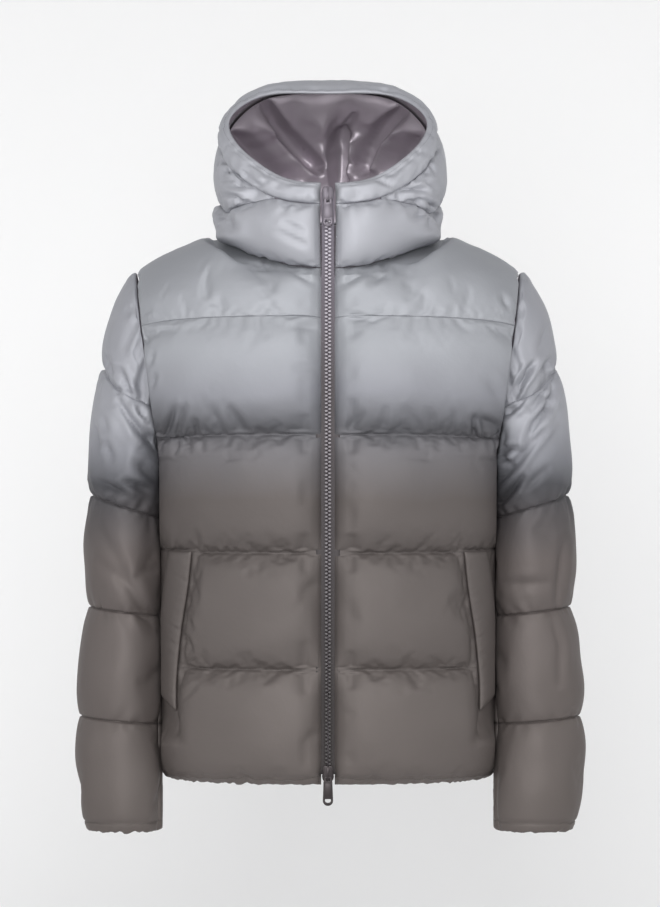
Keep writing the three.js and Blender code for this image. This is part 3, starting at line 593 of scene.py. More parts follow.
def yokeLift(facing, seed):
    def lift(u, v, base):
        side = np.abs(u)
        beside = 1 - smooth(side, 0.36, 0.5)
        neckHold = 1 - beside * (1 - swell(1 - v, 0.22))
        shoulderHold = np.maximum(swell(1 - v, 0.2), bodyCut["shoulderShare"])
        zipSide = swell(190 * side**0.87, 30) if facing < 0 else 1
        sides = swell(230 * (1 - side), 26 + 50 * smooth(v, 0.4, 1)) * zipSide
        seamHold = np.maximum(swell(v, 0.25), bodyCut["yokeSeamLift"] / bodyCut["yokePuff"])
        puff = bodyCut["yokePuff"] * seamHold * neckHold * shoulderHold * sides
        return puff + 1.2 * softNoise(base, 55, seed) * swell(v, 0.2) * swell(1 - v, 0.2) * sides

    return lift


def across(count, low=0.0, high=1.0):
    return np.linspace(low, high, count)


frontCount = int(260 / spacing)
backCount = int(540 / spacing)
perTier = int(140 / spacing)
bodyLevels = tierStations(tierCount, perTier)
bodySeams = tuple(range(tierCount + 1))
yokeStations = tierStations(1, int(110 / spacing))

for side, word in ((1, "left"), (-1, "right")):
    draft(f"front_{word}_cloth", [f"front_{word}"], lambda u, v: bodyPoint(-1, u, v), across(frontCount), bodyLevels,
          frontLift(11 + side), keepFront, side, "shell_lower", "body", bodySeams, 21 + side, underWelt, "front",
          f"front_{word}")
    draft(f"front_yoke_{word}_cloth", [f"front_yoke_{word}"], lambda u, v: yokePoint(-1, u, v), across(frontCount),
          yokeStations, yokeLift(-1, 31 + side), keepFront, side, "shell_upper", "body", (), 33 + side, None, "yoke",
          f"front_{word}")
draft("back_cloth", ["back"], lambda s, v: bodyPoint(1, -s, v), across(backCount, -1), bodyLevels,
      backLift(41), keepBody, 1, "shell_lower", "body", bodySeams, 42, None, "back")
draft("back_yoke_cloth", ["back_yoke"], lambda s, v: yokePoint(1, -s, v), across(backCount, -1), yokeStations,
      yokeLift(1, 51), keepBody, 1, "shell_upper", "body", (), 52, None, "backYoke")
print("body panels drafted")


# Sleeves
def sleeveLift(first, last, seed):
    def lift(angle, level, base):
        share = level % 1
        turned = np.abs(np.where(angle > 180, angle - 360, angle))
        cap = np.where(level < 1, np.clip((sleeveCut["capAngle"] - turned) / 60, 0, 1), 1)
        sides = swell(np.minimum(angle - first, last - angle), 22)
        raised = sleeveCut["puff"] * pillow(share) * cap * sides
        return raised + 1.5 * softNoise(base, 48, seed) * pillow(share) * sides * cap

    return lift


sleeveLevels = tierStations(5, int(125 / spacing))
seam = sleeveCut["seamAngle"]
for side, word in ((1, "left"), (-1, "right")):
    draft(f"sleeve_{word}_top_cloth", [f"sleeve_{word}_top", f"sleeve_{word}_lower"], sleevePoint,
          across(int(230 / spacing), -seam, seam), sleeveLevels, sleeveLift(-seam, seam, 61 + side),
          keepSleeve, side, "shell_lower", "sleeve",
          (0, 1, 2, 3, 4, 5), 63 + side, None, "sleeve", f"sleeve_{word}")
    draft(f"sleeve_{word}_under_cloth", [f"sleeve_{word}_under"], sleevePoint,
          across(int(50 / spacing), seam, 360 - seam), sleeveLevels, sleeveLift(seam, 360 - seam, 71 + side),
          keepSleeve, side, "shell_lower", "sleeve", (0, 1, 2, 3, 4, 5), 73 + side, None, "sleeve")
print("sleeves drafted")


# Hood and collar
def hoodSurface(low, high):
    def point(angle, s):
        at = np.where(angle > 180, 360 - angle, angle)
        return hoodPoint(angle, low(at) * (1 - s) + high(at) * s)

    return point


def collarTop(angle):
    return np.minimum(seams["collarTop"](angle), seams["bandStart"](angle))


def hoodLift(puff, first, last, reach, seed, uneven=1.2):
    def lift(angle, s, base):
        sides = swell(np.minimum(angle - first, last - angle), reach)
        return puff * pillow(s) * sides + uneven * softNoise(base, 42, seed) * pillow(s) * sides

    return lift


hoodShares = tierStations(1, int(115 / spacing))
tip, center = hoodCut["tipAngle"], hoodCut["centerAngle"]
for side, word in ((1, "left"), (-1, "right")):
    draft(f"collar_{word}_cloth", [f"collar_{word}"], hoodSurface(lambda a: 0 * a, collarTop),
          across(int(330 / spacing), zipAngle, 180), tierStations(1, int(90 / spacing)),
          hoodLift(hoodCut["collarPuff"], zipAngle, 180, 12, 81 + side), keepHood, side, "shell_upper", "hood",
          (), 83 + side, None, "collar", f"hood_{word}")

    def sideLift(angle, s, base, inside=hoodLift(hoodCut["hoodPuff"], tip, center, 20, 91 + side)):
        return inside(angle, s, base) * smooth(angle, tip, 65)

    draft(f"hood_side_{word}_cloth", [f"hood_side_{word}"], hoodSurface(collarTop, seams["bandStart"]),
          across(int(220 / spacing), tip, center), hoodShares, sideLift, keepHood, side, "shell_upper", "hood",
          (), 93 + side, None, "hood", f"hood_{word}")
draft("hood_center_cloth", ["hood_center"], hoodSurface(collarTop, seams["bandStart"]),
      across(int(190 / spacing), center, 360 - center), tierStations(1, int(200 / spacing)),
      hoodLift(hoodCut["hoodPuff"], center, 360 - center, 16, 101), keepHood, 1, "shell_upper", "hood", (), 102, None,
      "hood")
draft("hood_band_cloth", ["hood_band"], hoodSurface(seams["bandStart"], lambda a: 0 * a + 1),
      across(int(640 / spacing), zipAngle, 360 - zipAngle), tierStations(1, int(44 / spacing)),
      hoodLift(hoodCut["bandPuff"], zipAngle, 360 - zipAngle, 8, 111, 0.7), keepHood, 1, "shell_upper", "hood",
      (), 112, None, "band", "band")
print("hood drafted")


# Pocket welts: a padded strip over the opening, sewn down along its inner edge and gathered a little by the seam
def weltPoint(s, v):
    rows = weltCut["rows"]
    z = rows[0]["z"] + (rows[-1]["z"] - rows[0]["z"]) * v + weltCut["slant"] * s * (1 - v)
    x = welt["seamX"](z) * (1 - s) + welt["edgeX"](z) * s
    start = bodyCut["zipEdge"]
    inside = np.clip((x - start) / (body["half"](z) - start), 0, 1)
    u = np.arcsin(inside ** (bodyCut["roundness"] / 2)) * 2 / math.pi
    return bodyPoint(-1, u, np.interp(z, bodyCut["quiltZ"], np.arange(tierCount + 1)))


welts = []
for side, word in ((1, "left"), (-1, "right")):
    uu, vv = np.meshgrid(across(16), across(90), indexing="ij")
    base = weltPoint(uu, vv)
    normals = gridNormals(weltPoint, uu, vv)
    full = swell(uu, 0.35) * swell(1 - uu, 0.22) * swell(1 - vv, 0.06) * swell(vv, 0.06)
    tucks = gathers(runLength(base, 1), 11, 121 + side) * np.exp(-uu / 0.3) * swell(uu, 0.1)
    raised = 2.0 + 2.6 * full + 1.1 * tucks + 0.35 * softNoise(base, 45, 123 + side) * full
    welts.append({"name": f"pocket_welt_{word}_cloth", "nodes": [f"pocket_welt_{word}"],
                  "inner": base + normals * weltCut["clearance"],
                  "outer": base + normals * (weltCut["clearance"] + raised)[..., None],
                  "keep": keepFront, "side": side, "slot": "shell_lower", "finish": "body", "fill": 0.3})
print("welts drafted")

# The down presses the cloth out between its seams: one cloth simulation for all padded pieces
puffing = {"frames": 14, "pressure": 4.0, "slack": 0.014, "most": 6.0, "bending": 0.4}


def gridFaces(wide, tall, offset=0):
    i, j = np.meshgrid(np.arange(wide - 1), np.arange(tall - 1), indexing="ij")
    a = (i * tall + j).ravel() + offset
    return np.stack([a, a + tall, a + tall + 1, a + 1], axis=1)


def simulate(pieces):
    points, faces, weights, starts = [], [], [], [0]
    for piece in pieces:
        wide, tall = piece["outer"].shape[:2]
        faces.append(gridFaces(wide, tall, starts[-1]))
        points.append(piece["outer"].reshape(-1, 3))
        weights.append(piece["pins"].ravel())
        starts.append(starts[-1] + wide * tall)
    points = np.concatenate(points)
    weights = np.concatenate(weights)
    mesh = bpy.data.meshes.new("puffing")
    mesh.from_pydata((points * mm).tolist(), [], np.concatenate(faces).tolist())
    worker = bpy.data.objects.new("puffing", mesh)
    bpy.context.scene.collection.objects.link(worker)
    pinned = worker.vertex_groups.new(name="pinned")
    pinned.add(np.flatnonzero(weights > 0.5).tolist(), 1.0, "REPLACE")
    cloth = worker.modifiers.new("Cloth", "CLOTH")
    cloth.settings.quality = 4
    cloth.settings.mass = 0.15
    cloth.settings.tension_stiffness = 20
    cloth.settings.compression_stiffness = 20
    cloth.settings.shear_stiffness = 6
    cloth.settings.bending_stiffness = puffing["bending"]
    cloth.settings.use_pressure = True
    cloth.settings.uniform_pressure_force = puffing["pressure"]
    cloth.settings.shrink_min = -puffing["slack"]
    cloth.settings.vertex_group_mass = "pinned"
    cloth.settings.effector_weights.gravity = 0
    cloth.collision_settings.use_collision = False
    cloth.collision_settings.use_self_collision = False
    cloth.point_cache.frame_end = puffing["frames"]
    scene = bpy.context.scene
    for step in range(1, puffing["frames"] + 1):
        scene.frame_set(step)
    settled = worker.evaluated_get(bpy.context.evaluated_depsgraph_get()).to_mesh()
    moved = np.empty(len(points) * 3, np.float32)
    settled.vertices.foreach_get("co", moved)
    moved = moved.reshape(-1, 3).astype(float) / mm
    scene.frame_set(1)
    bpy.data.objects.remove(worker)
    bpy.data.meshes.remove(mesh)
    shift = moved - points
    distance = np.linalg.norm(shift, axis=1, keepdims=True)
    shift *= np.minimum(1, puffing["most"] / np.maximum(distance, 1e-6))
    print("puffed out, mean move", round(float(distance.mean()), 2), "mm, most", round(float(distance.max()), 1))
    for piece, start, end in zip(pieces, starts, starts[1:]):
        piece["outer"] = piece["outer"] + shift[start:end].reshape(piece["outer"].shape)


simulate(drafts)
print("cloth settled")


# Twice as many points both ways, the new ones on smooth curves through the old
def refine(grid):
    for axis in (0, 1):
        points = np.moveaxis(grid, axis, 0)
        padded = np.concatenate([2 * points[:1] - points[1:2], points, 2 * points[-1:] - points[-2:-1]])
        finer = np.empty((2 * len(points) - 1, *points.shape[1:]))
        finer[::2] = points
        finer[1::2] = (9 * (padded[1:-2] + padded[2:-1]) - padded[:-3] - padded[3:]) / 16
        grid = np.moveaxis(finer, 0, axis)
    return grid


def surfaceNormals(points):
    normal = np.cross(np.gradient(points, axis=0), np.gradient(points, axis=1))
    return normal / np.maximum(np.linalg.norm(normal, axis=-1, keepdims=True), 1e-9)


# Turns a grid so that its second direction runs away from a seam, and finds the seam in it
def fromSeam(piece, spec, grid):
    isRow = "row" in spec
    stations = piece["v"][0] if isRow else piece["u"][:, 0]
    index = int(np.argmin(np.abs(stations - spec["row" if isRow else "column"])))
    return (grid if isRow else np.swapaxes(grid, 0, 1)), index


# Short uneven valleys that start at a seam and lean one way or the other, with a lip on each side
def puckers(along, tall, spec, seed):
    picks = np.random.default_rng(seed)
    total = np.zeros(np.broadcast_shapes(along.shape, tall.shape))
    at = float(along.min()) - spec["spacing"]
    while at < float(along.max()):
        at += spec["spacing"] * picks.uniform(0.4, 1.7)
        lean, width = picks.uniform(-0.6, 0.6), picks.uniform(2.3, 4.2)
        length, deep = spec["longest"] * picks.uniform(0.3, 1), picks.uniform(0.2, 1) ** 1.7
        gap = np.abs(along - at - lean * tall) / (width * (1 + tall / 28))
        shape = np.exp(-gap**1.4) - 0.42 * np.exp(-(((gap - 1.9) / 0.85) ** 2))
        total -= deep * shape * np.exp(-((tall / length) ** 1.6))
    return total * smooth(tall, 0, 3.5)


def gatherSeams(piece):
    shift = np.zeros(piece["u"].shape)
    for number, spec in enumerate(gatherLook[piece["look"]]):
        isRow = "row" in spec
        stations = piece["v"] if isRow else piece["u"]
        if abs(stations - spec["row" if isRow else "column"]).min() > 1e-6:
            continue
        base, index = fromSeam(piece, spec, piece["base"])
        away = runLength(base, 1)
        away = away - away[:, [index]]
        along = runLength(base, 0)[:, [index]]
        strength = spec["deep"]
        if "outward" in spec:
            outward = smooth(np.abs(base[..., 0]), 110, 165)
            strength = strength * (spec["outward"] + (1 - spec["outward"]) * outward)
        for half in (-1, 1):
            tall = np.maximum(away * half, 0)
            seed = piece["seed"] * 101 + number * 2 + half
            ripple = strength * puckers(along, tall, spec, seed) * (away * half > 0)
            shift += ripple if isRow else np.swapaxes(ripple, 0, 1)
    return shift


# A row of stitches beside an edge pulls the cloth in
def stitchGrooves(piece):
    shift = np.zeros(piece["u"].shape)
    for spec in sewnLook.get(piece["look"], []):
        if "off" not in spec:
            continue
        base, index = fromSeam(piece, spec, piece["base"])
        away = runLength(base, 1)
        away = np.abs(away - away[:, [index]])
        groove = -1.5 * np.exp(-(((away - spec["off"]) / 1.8) ** 2))
        shift += groove if "row" in spec else np.swapaxes(groove, 0, 1)
    return shift


# Distance from points to a line of several pieces, on which side of it they are and how far along it
def lineDistance(x, z, line):
    nearest, side, run = np.full(x.shape, 1e9), np.zeros(x.shape), np.zeros(x.shape)
    lengths = [math.dist(a, b) for a, b in zip(line, line[1:])]
    before = 0
    for (ax, az), (bx, bz), length in zip(line, line[1:], lengths):
        dx, dz = bx - ax, bz - az
        t = np.clip(((x - ax) * dx + (z - az) * dz) / length**2, 0, 1)
        gapX, gapZ = x - ax - t * dx, z - az - t * dz
        gap = np.hypot(gapX, gapZ)
        closer = gap < nearest
        side = np.where(closer, np.sign(dx * gapZ - dz * gapX), side)
        run = np.where(closer, (before + t * length) / sum(lengths), run)
        nearest = np.minimum(nearest, gap)
        before += length
    return nearest, side, run


# Creases pressed in where the jacket is creased, as seen from the front in x and z
creaseLines = {
    "sleeve_right": [
        {"line": [(-241, -109), (-225, -100)], "deep": 2, "wide": 3},
        {"line": [(-227, -120), (-222, -111)], "deep": 2, "wide": 3},
        {"line": [(-263, -161), (-257, -181)], "deep": 3, "wide": 4},
        {"line": [(-251, -173), (-248, -188)], "deep": 2.5, "wide": 3},
        {"line": [(-245, -175), (-238, -196)], "deep": 4, "wide": 3.5},
        {"line": [(-247, -198), (-248, -212)], "deep": 3, "wide": 3},
        {"line": [(-240, -194), (-233, -203)], "deep": 3, "wide": 3},
        {"line": [(-245, -216), (-235, -232), (-221, -247), (-197, -271)], "deep": 7, "wide": 5},
        {"line": [(-222, -223), (-218, -232)], "deep": 3.5, "wide": 4},
        {"line": [(-215, -234), (-211, -247)], "deep": 3, "wide": 3},
        {"line": [(-250, -232), (-241, -247)], "deep": 2, "wide": 5},
        {"line": [(-266, -232), (-263, -247)], "deep": 2, "wide": 4},
        {"line": [(-264, -261), (-256, -279)], "deep": 3, "wide": 4},
        {"line": [(-278, -243), (-273, -267)], "deep": 4, "wide": 4},
        {"line": [(-223, -287), (-207, -300)], "deep": 4, "wide": 5},
        {"line": [(-241, -308), (-225, -312), (-215, -318)], "deep": 5, "wide": 4},
        {"line": [(-272, -308), (-241, -322)], "deep": 5, "wide": 5},
        {"line": [(-279, -351), (-215, -459)], "deep": 1.5, "wide": 7},
        {"line": [(-269, -404), (-238, -429), (-208, -481)], "deep": 1.8, "wide": 7},
        {"line": [(-215, -410), (-204, -411)], "deep": 2, "wide": 3},
    ],
    "sleeve_left": [
        {"line": [(218, -102), (235, -102)], "deep": 1.5, "wide": 3},
        {"line": [(218, -109), (225, -109)], "deep": 2, "wide": 3},
        {"line": [(261, -124), (251, -153)], "deep": 2.5, "wide": 5},
        {"line": [(227, -189), (222, -210)], "deep": 4, "wide": 3},
        {"line": [(264, -163), (254, -177)], "deep": 4, "wide": 3.5},
        {"line": [(245, -166), (231, -186)], "deep": 3, "wide": 3.5},
        {"line": [(240, -171), (218, -206)], "deep": 5, "wide": 3.5},
        {"line": [(222, -217), (208, -228)], "deep": 5, "wide": 4},
        {"line": [(258, -181), (257, -194), (247, -212), (240, -222)], "deep": 3, "wide": 4},
        {"line": [(267, -184), (269, -196), (261, -218), (243, -241), (234, -259)], "deep": 6, "wide": 4},
        {"line": [(231, -208), (224, -220)], "deep": 3, "wide": 3},
        {"line": [(253, -249), (237, -267), (223, -283), (204, -304)], "deep": 6.5, "wide": 5},
        {"line": [(276, -245), (257, -265), (235, -287)], "deep": 3, "wide": 7},
        {"line": [(259, -291), (233, -314)], "deep": 3, "wide": 4},
        {"line": [(229, -302), (203, -334)], "deep": 6, "wide": 4},
        {"line": [(202, -275), (214, -285)], "deep": 5, "wide": 3},
        {"line": [(208, -271), (223, -269)], "deep": 5, "wide": 4},
        {"line": [(280, -379), (272, -445)], "deep": 3, "wide": 5},
        {"line": [(268, -476), (275, -500), (274, -545)], "deep": 2.5, "wide": 5},
        {"line": [(207, -430), (265, -427)], "deep": 1.5, "wide": 6},
    ],
    "front_right": [
        {"line": [(-180, -223), (-191, -254)], "deep": 5, "wide": 5},
        {"line": [(-168, -221), (-177, -250)], "deep": 4, "wide": 4},
        {"line": [(-155, -236), (-152, -254)], "deep": 3, "wide": 3},
        {"line": [(-136, -221), (-124, -247)], "deep": 2, "wide": 5},
        {"line": [(-115, -223), (-100, -245)], "deep": 1.8, "wide": 5},
        {"line": [(-176, -260), (-180, -274)], "deep": 2.5, "wide": 3},
        {"line": [(-163, -256), (-161, -271)], "deep": 2, "wide": 3},
        {"line": [(-149, -256), (-146, -269)], "deep": 1.6, "wide": 3},
        {"line": [(-15, -198), (-9, -196)], "deep": 1.5, "wide": 3},
        {"line": [(-15, -223), (-11, -221)], "deep": 1.5, "wide": 3},
        {"line": [(-40, -127), (-17, -126)], "deep": 1.2, "wide": 4},
        {"line": [(-38, -174), (-14, -173)], "deep": 1.2, "wide": 4},
        {"line": [(-210, -139), (-212, -144)], "deep": 2, "wide": 3},
        {"line": [(-205, -159), (-208, -168)], "deep": 2, "wide": 3},
        {"line": [(-202, -184), (-206, -195)], "deep": 2, "wide": 3},
        {"line": [(-40, -61), (-17, -75)], "deep": 2, "wide": 4},
        {"line": [(-107, -43), (-44, -62)], "deep": 1.5, "wide": 8},
        {"line": [(-156, -366), (-153, -388)], "deep": 1.5, "wide": 4},
        {"line": [(-164, -469), (-159, -480)], "deep": 1.8, "wide": 3},
        {"line": [(-165, -491), (-159, -507)], "deep": 1.8, "wide": 3},
        {"line": [(-170, -562), (-154, -545)], "deep": 1.5, "wide": 3},
    ],
    "front_left": [
        {"line": [(20, -114), (54, -120)], "deep": 1.2, "wide": 5},
        {"line": [(171, -232), (171, -254)], "deep": 4, "wide": 3},
        {"line": [(175, -235), (200, -244)], "deep": 4, "wide": 6},
        {"line": [(188, -190), (202, -210)], "deep": 2, "wide": 6},
        {"line": [(38, -229), (26, -244)], "deep": 2, "wide": 4},
        {"line": [(206, -90), (212, -101)], "deep": 3, "wide": 4},
        {"line": [(65, -65), (50, -74)], "deep": 1.8, "wide": 5},
        {"line": [(44, -61), (16, -77)], "deep": 2, "wide": 5},
        {"line": [(67, -223), (64, -244)], "deep": 1.5, "wide": 4},
        {"line": [(119, -226), (123, -247)], "deep": 1.5, "wide": 5},
        {"line": [(148, -228), (145, -247)], "deep": 1.8, "wide": 4},
    ],
    "hood_right": [
        {"line": [(-124, 31), (-118, 31), (-105, 26)], "deep": 2.5, "wide": 3},
        {"line": [(-127, 101), (-111, 95)], "deep": 4, "wide": 3.5},
        {"line": [(-127, 96), (-114, 77)], "deep": 4, "wide": 3.5},
        {"line": [(-108, 79), (-101, 71)], "deep": 2.5, "wide": 3},
        {"line": [(-134, 76), (-119, 71)], "deep": 2.5, "wide": 3},
        {"line": [(-124, 62), (-114, 59)], "deep": 2.5, "wide": 3},
        {"line": [(-131, 51), (-94, 48)], "deep": 2, "wide": 5},
        {"line": [(-115, 42), (-91, 41)], "deep": 2, "wide": 4},
        {"line": [(-127, 17), (-112, -9)], "deep": 3, "wide": 5},
        {"line": [(-57, -15), (-28, -30)], "deep": 2, "wide": 4},
        {"line": [(-51, -6), (-29, -16)], "deep": 2, "wide": 4},
    ],
    "hood_left": [
        {"line": [(106, 85), (120, 86), (135, 90)], "deep": 4, "wide": 3.5},
        {"line": [(87, 37), (101, 39), (115, 37)], "deep": 4, "wide": 3.5},
        {"line": [(116, 46), (129, 42)], "deep": 2, "wide": 4},
        {"line": [(125, 16), (121, -5)], "deep": 4, "wide": 4},
        {"line": [(115, 24), (125, 18), (138, 14)], "deep": 3, "wide": 3},
        {"line": [(102, 6), (119, 10)], "deep": 3, "wide": 5},
    ],
    "band": [
        {"line": [(-100, 57), (-81, 40)], "deep": 2, "wide": 3},
        {"line": [(-88, 36), (-71, 47)], "deep": 1.5, "wide": 3},
        {"line": [(57, 49), (80, 37)], "deep": 2, "wide": 3},
        {"line": [(-77, 148), (-63, 157)], "deep": 1.5, "wide": 3},
        {"line": [(-70, 144), (-57, 154)], "deep": 1.2, "wide": 3},
        {"line": [(53, 154), (68, 142)], "deep": 1.5, "wide": 3},
        {"line": [(62, 152), (76, 141)], "deep": 1.2, "wide": 3},
    ],
}


# How deep creases go in at each point: a V with a lip, taller on one side, fading to both ends
def creased(x, z, lines):
    total = np.zeros(x.shape)
    for crease in lines:
        gap, side, run = lineDistance(x, z, crease["line"])
        away = gap / crease["wide"]
        lip = np.where(side > 0, 0.5, 0.25) * np.exp(-(((away - 2.0) / 0.95) ** 2))
        ends = 0.35 + 0.65 * np.sqrt(np.maximum(np.sin(math.pi * np.clip(run, 0.02, 0.98)), 0))
        sharp = np.exp(-(away**1.3)) + 0.25 * np.exp(-((away * 2.4) ** 2))
        total += 1.35 * crease["deep"] * ends * (lip - sharp)
    return total


# Similar creases where the front view doesn't look
def hiddenCreases(points, normals, count, seed):
    picks = np.random.default_rng(seed)
    spots = points[normals[..., 1] > 0.15]
    lines = []
    for _ in range(count if len(spots) else 0):
        x, _, z = spots[picks.integers(len(spots))]
        turn, length = picks.uniform(-0.8, 0.8), picks.uniform(12, 42)
        bend = picks.uniform(-5, 5)
        step = np.array([math.sin(turn), math.cos(turn)]) * length / 2
        line = [(x - step[0], z - step[1]), (x + bend, z), (x + step[0], z + step[1])]
        lines.append({"line": line, "deep": picks.uniform(1.2, 4), "wide": picks.uniform(3, 5.5)})
    return lines


# The hem and the cuffs draw up a little between the gathers
def drawUp(piece):
    end = {"front": 0, "back": 0, "sleeve": -1}.get(piece["look"])
    if end is None:
        return
    down = runLength(piece["base"], 1)
    along = runLength(piece["base"], 0)[:, [end]]
    rise = 2.0 * gathers(along, 15, piece["seed"] + 500) * np.exp(-np.abs(down - down[:, [end]]) / 9)
    for key in ("outer", "inner"):
        piece[key][..., 2] += rise * smooth(along, 0, 12) * smooth(along.max() - along, 0, 12)


def dress(piece, hiddenCount):
    for key in ("outer", "inner", "base", "u", "v"):
        piece[key] = refine(piece[key])
    drawUp(piece)
    normals = surfaceNormals(piece["outer"])
    shift = gatherSeams(piece) + stitchGrooves(piece)
    x, z = piece["outer"][..., 0] * piece["side"], piece["outer"][..., 2]
    if piece["creases"]:
        shift += creased(x, z, creaseLines[piece["creases"]]) * smooth(-normals[..., 1], 0.05, 0.35)
    hidden = hiddenCreases(piece["outer"] * [piece["side"], 1, 1], normals, hiddenCount, piece["seed"])
    shift += creased(x, z, hidden) * smooth(normals[..., 1], 0.05, 0.35)
    room = np.sum((piece["outer"] - piece["base"]) * normals, axis=-1)
    edges = np.minimum(*(np.minimum(g, g[::-1, ::-1]) for g in np.indices(shift.shape)))
    shift = np.maximum(shift, np.minimum(1.2 - room, 0)) * smooth(edges, 0, 2)
    piece["outer"] = piece["outer"] + normals * shift[..., None]
    room = np.sum((piece["outer"] - piece["inner"]) * normals, axis=-1)
    piece["inner"] = piece["inner"] - normals * np.maximum(1 - room, 0)[..., None]


hiddenCount = {"back": 16, "yoke": 4, "backYoke": 4, "sleeve": 9, "hood": 6, "collar": 5}
for piece in drafts:
    dress(piece, hiddenCount.get(piece["look"], 0))
print("creases pressed in")


# Materials
def linear(code):
    channels = [int(code[i : i + 2], 16) / 255 for i in (1, 3, 5)]
    return [*(c / 12.92 if c <= 0.04045 else ((c + 0.055) / 1.055) ** 2.4 for c in channels), 1.0]


def addNode(tree, kind, settings=None, links=None):
    node = tree.nodes.new(kind)
    for name, value in (settings or {}).items():
        if isinstance(name, int) or name in node.inputs:
            node.inputs[name].default_value = value
        else:
            setattr(node, name, value)
    for name, output in (links or {}).items():
        tree.links.new(output, node.inputs[name])
    return node


def newMaterial(name):
    material = bpy.data.materials.new(name)
    material.use_nodes = True
    tree = material.node_tree
    tree.nodes.clear()
    shader = addNode(tree, "ShaderNodeBsdfPrincipled")
    addNode(tree, "ShaderNodeOutputMaterial", {}, {"Surface": shader.outputs[0]})
    return material, tree, shader


# Colour that changes with height, for dye and for painted shade bands: stops are heights in mm and colours
def fade(tree, vector, stops, drift=None):
    split = addNode(tree, "ShaderNodeSeparateXYZ", {}, {0: vector})
    height = split.outputs[2]
    if drift is not None:
        height = addNode(tree, "ShaderNodeMath", {"operation": "ADD"}, {0: height, 1: drift}).outputs[0]
    span = addNode(tree, "ShaderNodeMapRange", {"From Min": -0.72, "From Max": 0.18}, {"Value": height})
    ramp = addNode(tree, "ShaderNodeValToRGB", {}, {0: span.outputs[0]})
    points = ramp.color_ramp.elements
    while len(points) < len(stops):
        points.new(0.5)
    for point, (z, color) in zip(points, stops):
        point.position = (z * mm + 0.72) / 0.9
        point.color = linear(color)
    return ramp


# Woven nylon with a pearly coat, dyed from silver at the top to warm grey below. The dark bands just above the chest
# seam and around the first sleeve seam are painted shade, and the lighter stop just below the chest seam is painted
# light.
# It looks softly metallic where it turns to the light and dull in the folds.
shellLook = {
    "body": [
        # The dark stop at -246, just above the chest seam, is painted shade under the chest puff; the lighter stop at
        # -268 below it is painted light on the top of the next tier
        (-700, "#635C59"), (-330, "#5B5553"), (-268, "#6B696C"),
        (-246, "#5A5A5E"), (-205, "#83848A"), (-150, "#989A9F"),
    ],
    "sleeve": [
        # The darkest stops at -350 and -308, around the first sleeve seam, are painted shade under the cap's puff,
        # laid over the change of dye from silver to warm grey
        (-700, "#605956"), (-400, "#605957"), (-350, "#534F50"),
        (-308, "#4C4C50"), (-272, "#828389"), (-236, "#9C9DA3"),
    ],
    "hood": [(-200, "#A0A1A7"), (120, "#A8A9AF")],
    "drawnThread": 1.1,
}


def coatedNylon(name, stops):
    material, tree, shader = newMaterial(name)
    place = addNode(tree, "ShaderNodeTexCoord")
    cloud = addNode(tree, "ShaderNodeTexNoise", {"Scale": 1 / 0.09, "Detail": 3.0},
                    {"Vector": place.outputs["Object"]})
    drift = addNode(tree, "ShaderNodeMath", {"operation": "MULTIPLY_ADD", 1: 0.03, 2: -0.015},
                    {0: cloud.outputs[0]})
    ramp = fade(tree, place.outputs["Object"], stops, drift.outputs[0])
    size = 1 / (shellLook["drawnThread"] * mm)
    warp = addNode(tree, "ShaderNodeTexWave", {"Scale": size / 20, "bands_direction": "DIAGONAL"},
                   {"Vector": place.outputs["Object"]})
    grain = addNode(tree, "ShaderNodeTexNoise", {"Scale": size * 0.8, "Detail": 2.0},
                    {"Vector": place.outputs["Object"]})
    crinkle = addNode(tree, "ShaderNodeTexNoise", {"Scale": 1 / 0.016, "Detail": 4.0, "Roughness": 0.55},
                      {"Vector": place.outputs["Object"]})
    weave = addNode(tree, "ShaderNodeMath", {"operation": "MULTIPLY_ADD", 1: 0.35},
                    {0: warp.outputs[1], 2: grain.outputs[0]})
    fine = addNode(tree, "ShaderNodeBump", {"Strength": 0.10, "Distance": 0.0002}, {"Height": weave.outputs[0]})
    bump = addNode(tree, "ShaderNodeBump", {"Strength": 0.22, "Distance": 0.002},
                   {"Height": crinkle.outputs[0], "Normal": fine.outputs[0]})
    rough = addNode(tree, "ShaderNodeMapRange", {"To Min": 0.55, "To Max": 0.66}, {"Value": cloud.outputs[0]})
    tree.links.new(ramp.outputs[0], shader.inputs["Base Color"])
    tree.links.new(rough.outputs[0], shader.inputs["Roughness"])
    tree.links.new(bump.outputs[0], shader.inputs["Normal"])
    shader.inputs["Metallic"].default_value = 0.45
    return material


# Satin polyester lining: tight twill floats that give long soft highlights along each fold
def satinLining():
    material, tree, shader = newMaterial("satinLining")
    place = addNode(tree, "ShaderNodeTexCoord")
    twill = addNode(tree, "ShaderNodeTexWave", {"Scale": 60.0, "bands_direction": "DIAGONAL"},
                    {"Vector": place.outputs["Object"]})
    cloud = addNode(tree, "ShaderNodeTexNoise", {"Scale": 22.0, "Detail": 3.0}, {"Vector": place.outputs["Object"]})
    tint = addNode(tree, "ShaderNodeMix", {"data_type": "RGBA"}, {0: cloud.outputs[0]})
    tint.inputs[6].default_value = linear("#A59DA5")
    tint.inputs[7].default_value = linear("#BDB5BD")
    bump = addNode(tree, "ShaderNodeBump", {"Strength": 0.05, "Distance": 0.0002}, {"Height": twill.outputs[1]})
    tree.links.new(tint.outputs[2], shader.inputs["Base Color"])
    tree.links.new(bump.outputs[0], shader.inputs["Normal"])
    shader.inputs["Roughness"].default_value = 0.48
    shader.inputs["Metallic"].default_value = 0.6
    return material


shells = {
    "body": coatedNylon("coatedNylonBody", shellLook["body"]),
    "sleeve": coatedNylon("coatedNylonSleeve", shellLook["sleeve"]),
    "hood": coatedNylon("coatedNylonHood", shellLook["hood"]),
}
satin = satinLining()
print("cloth materials ready")


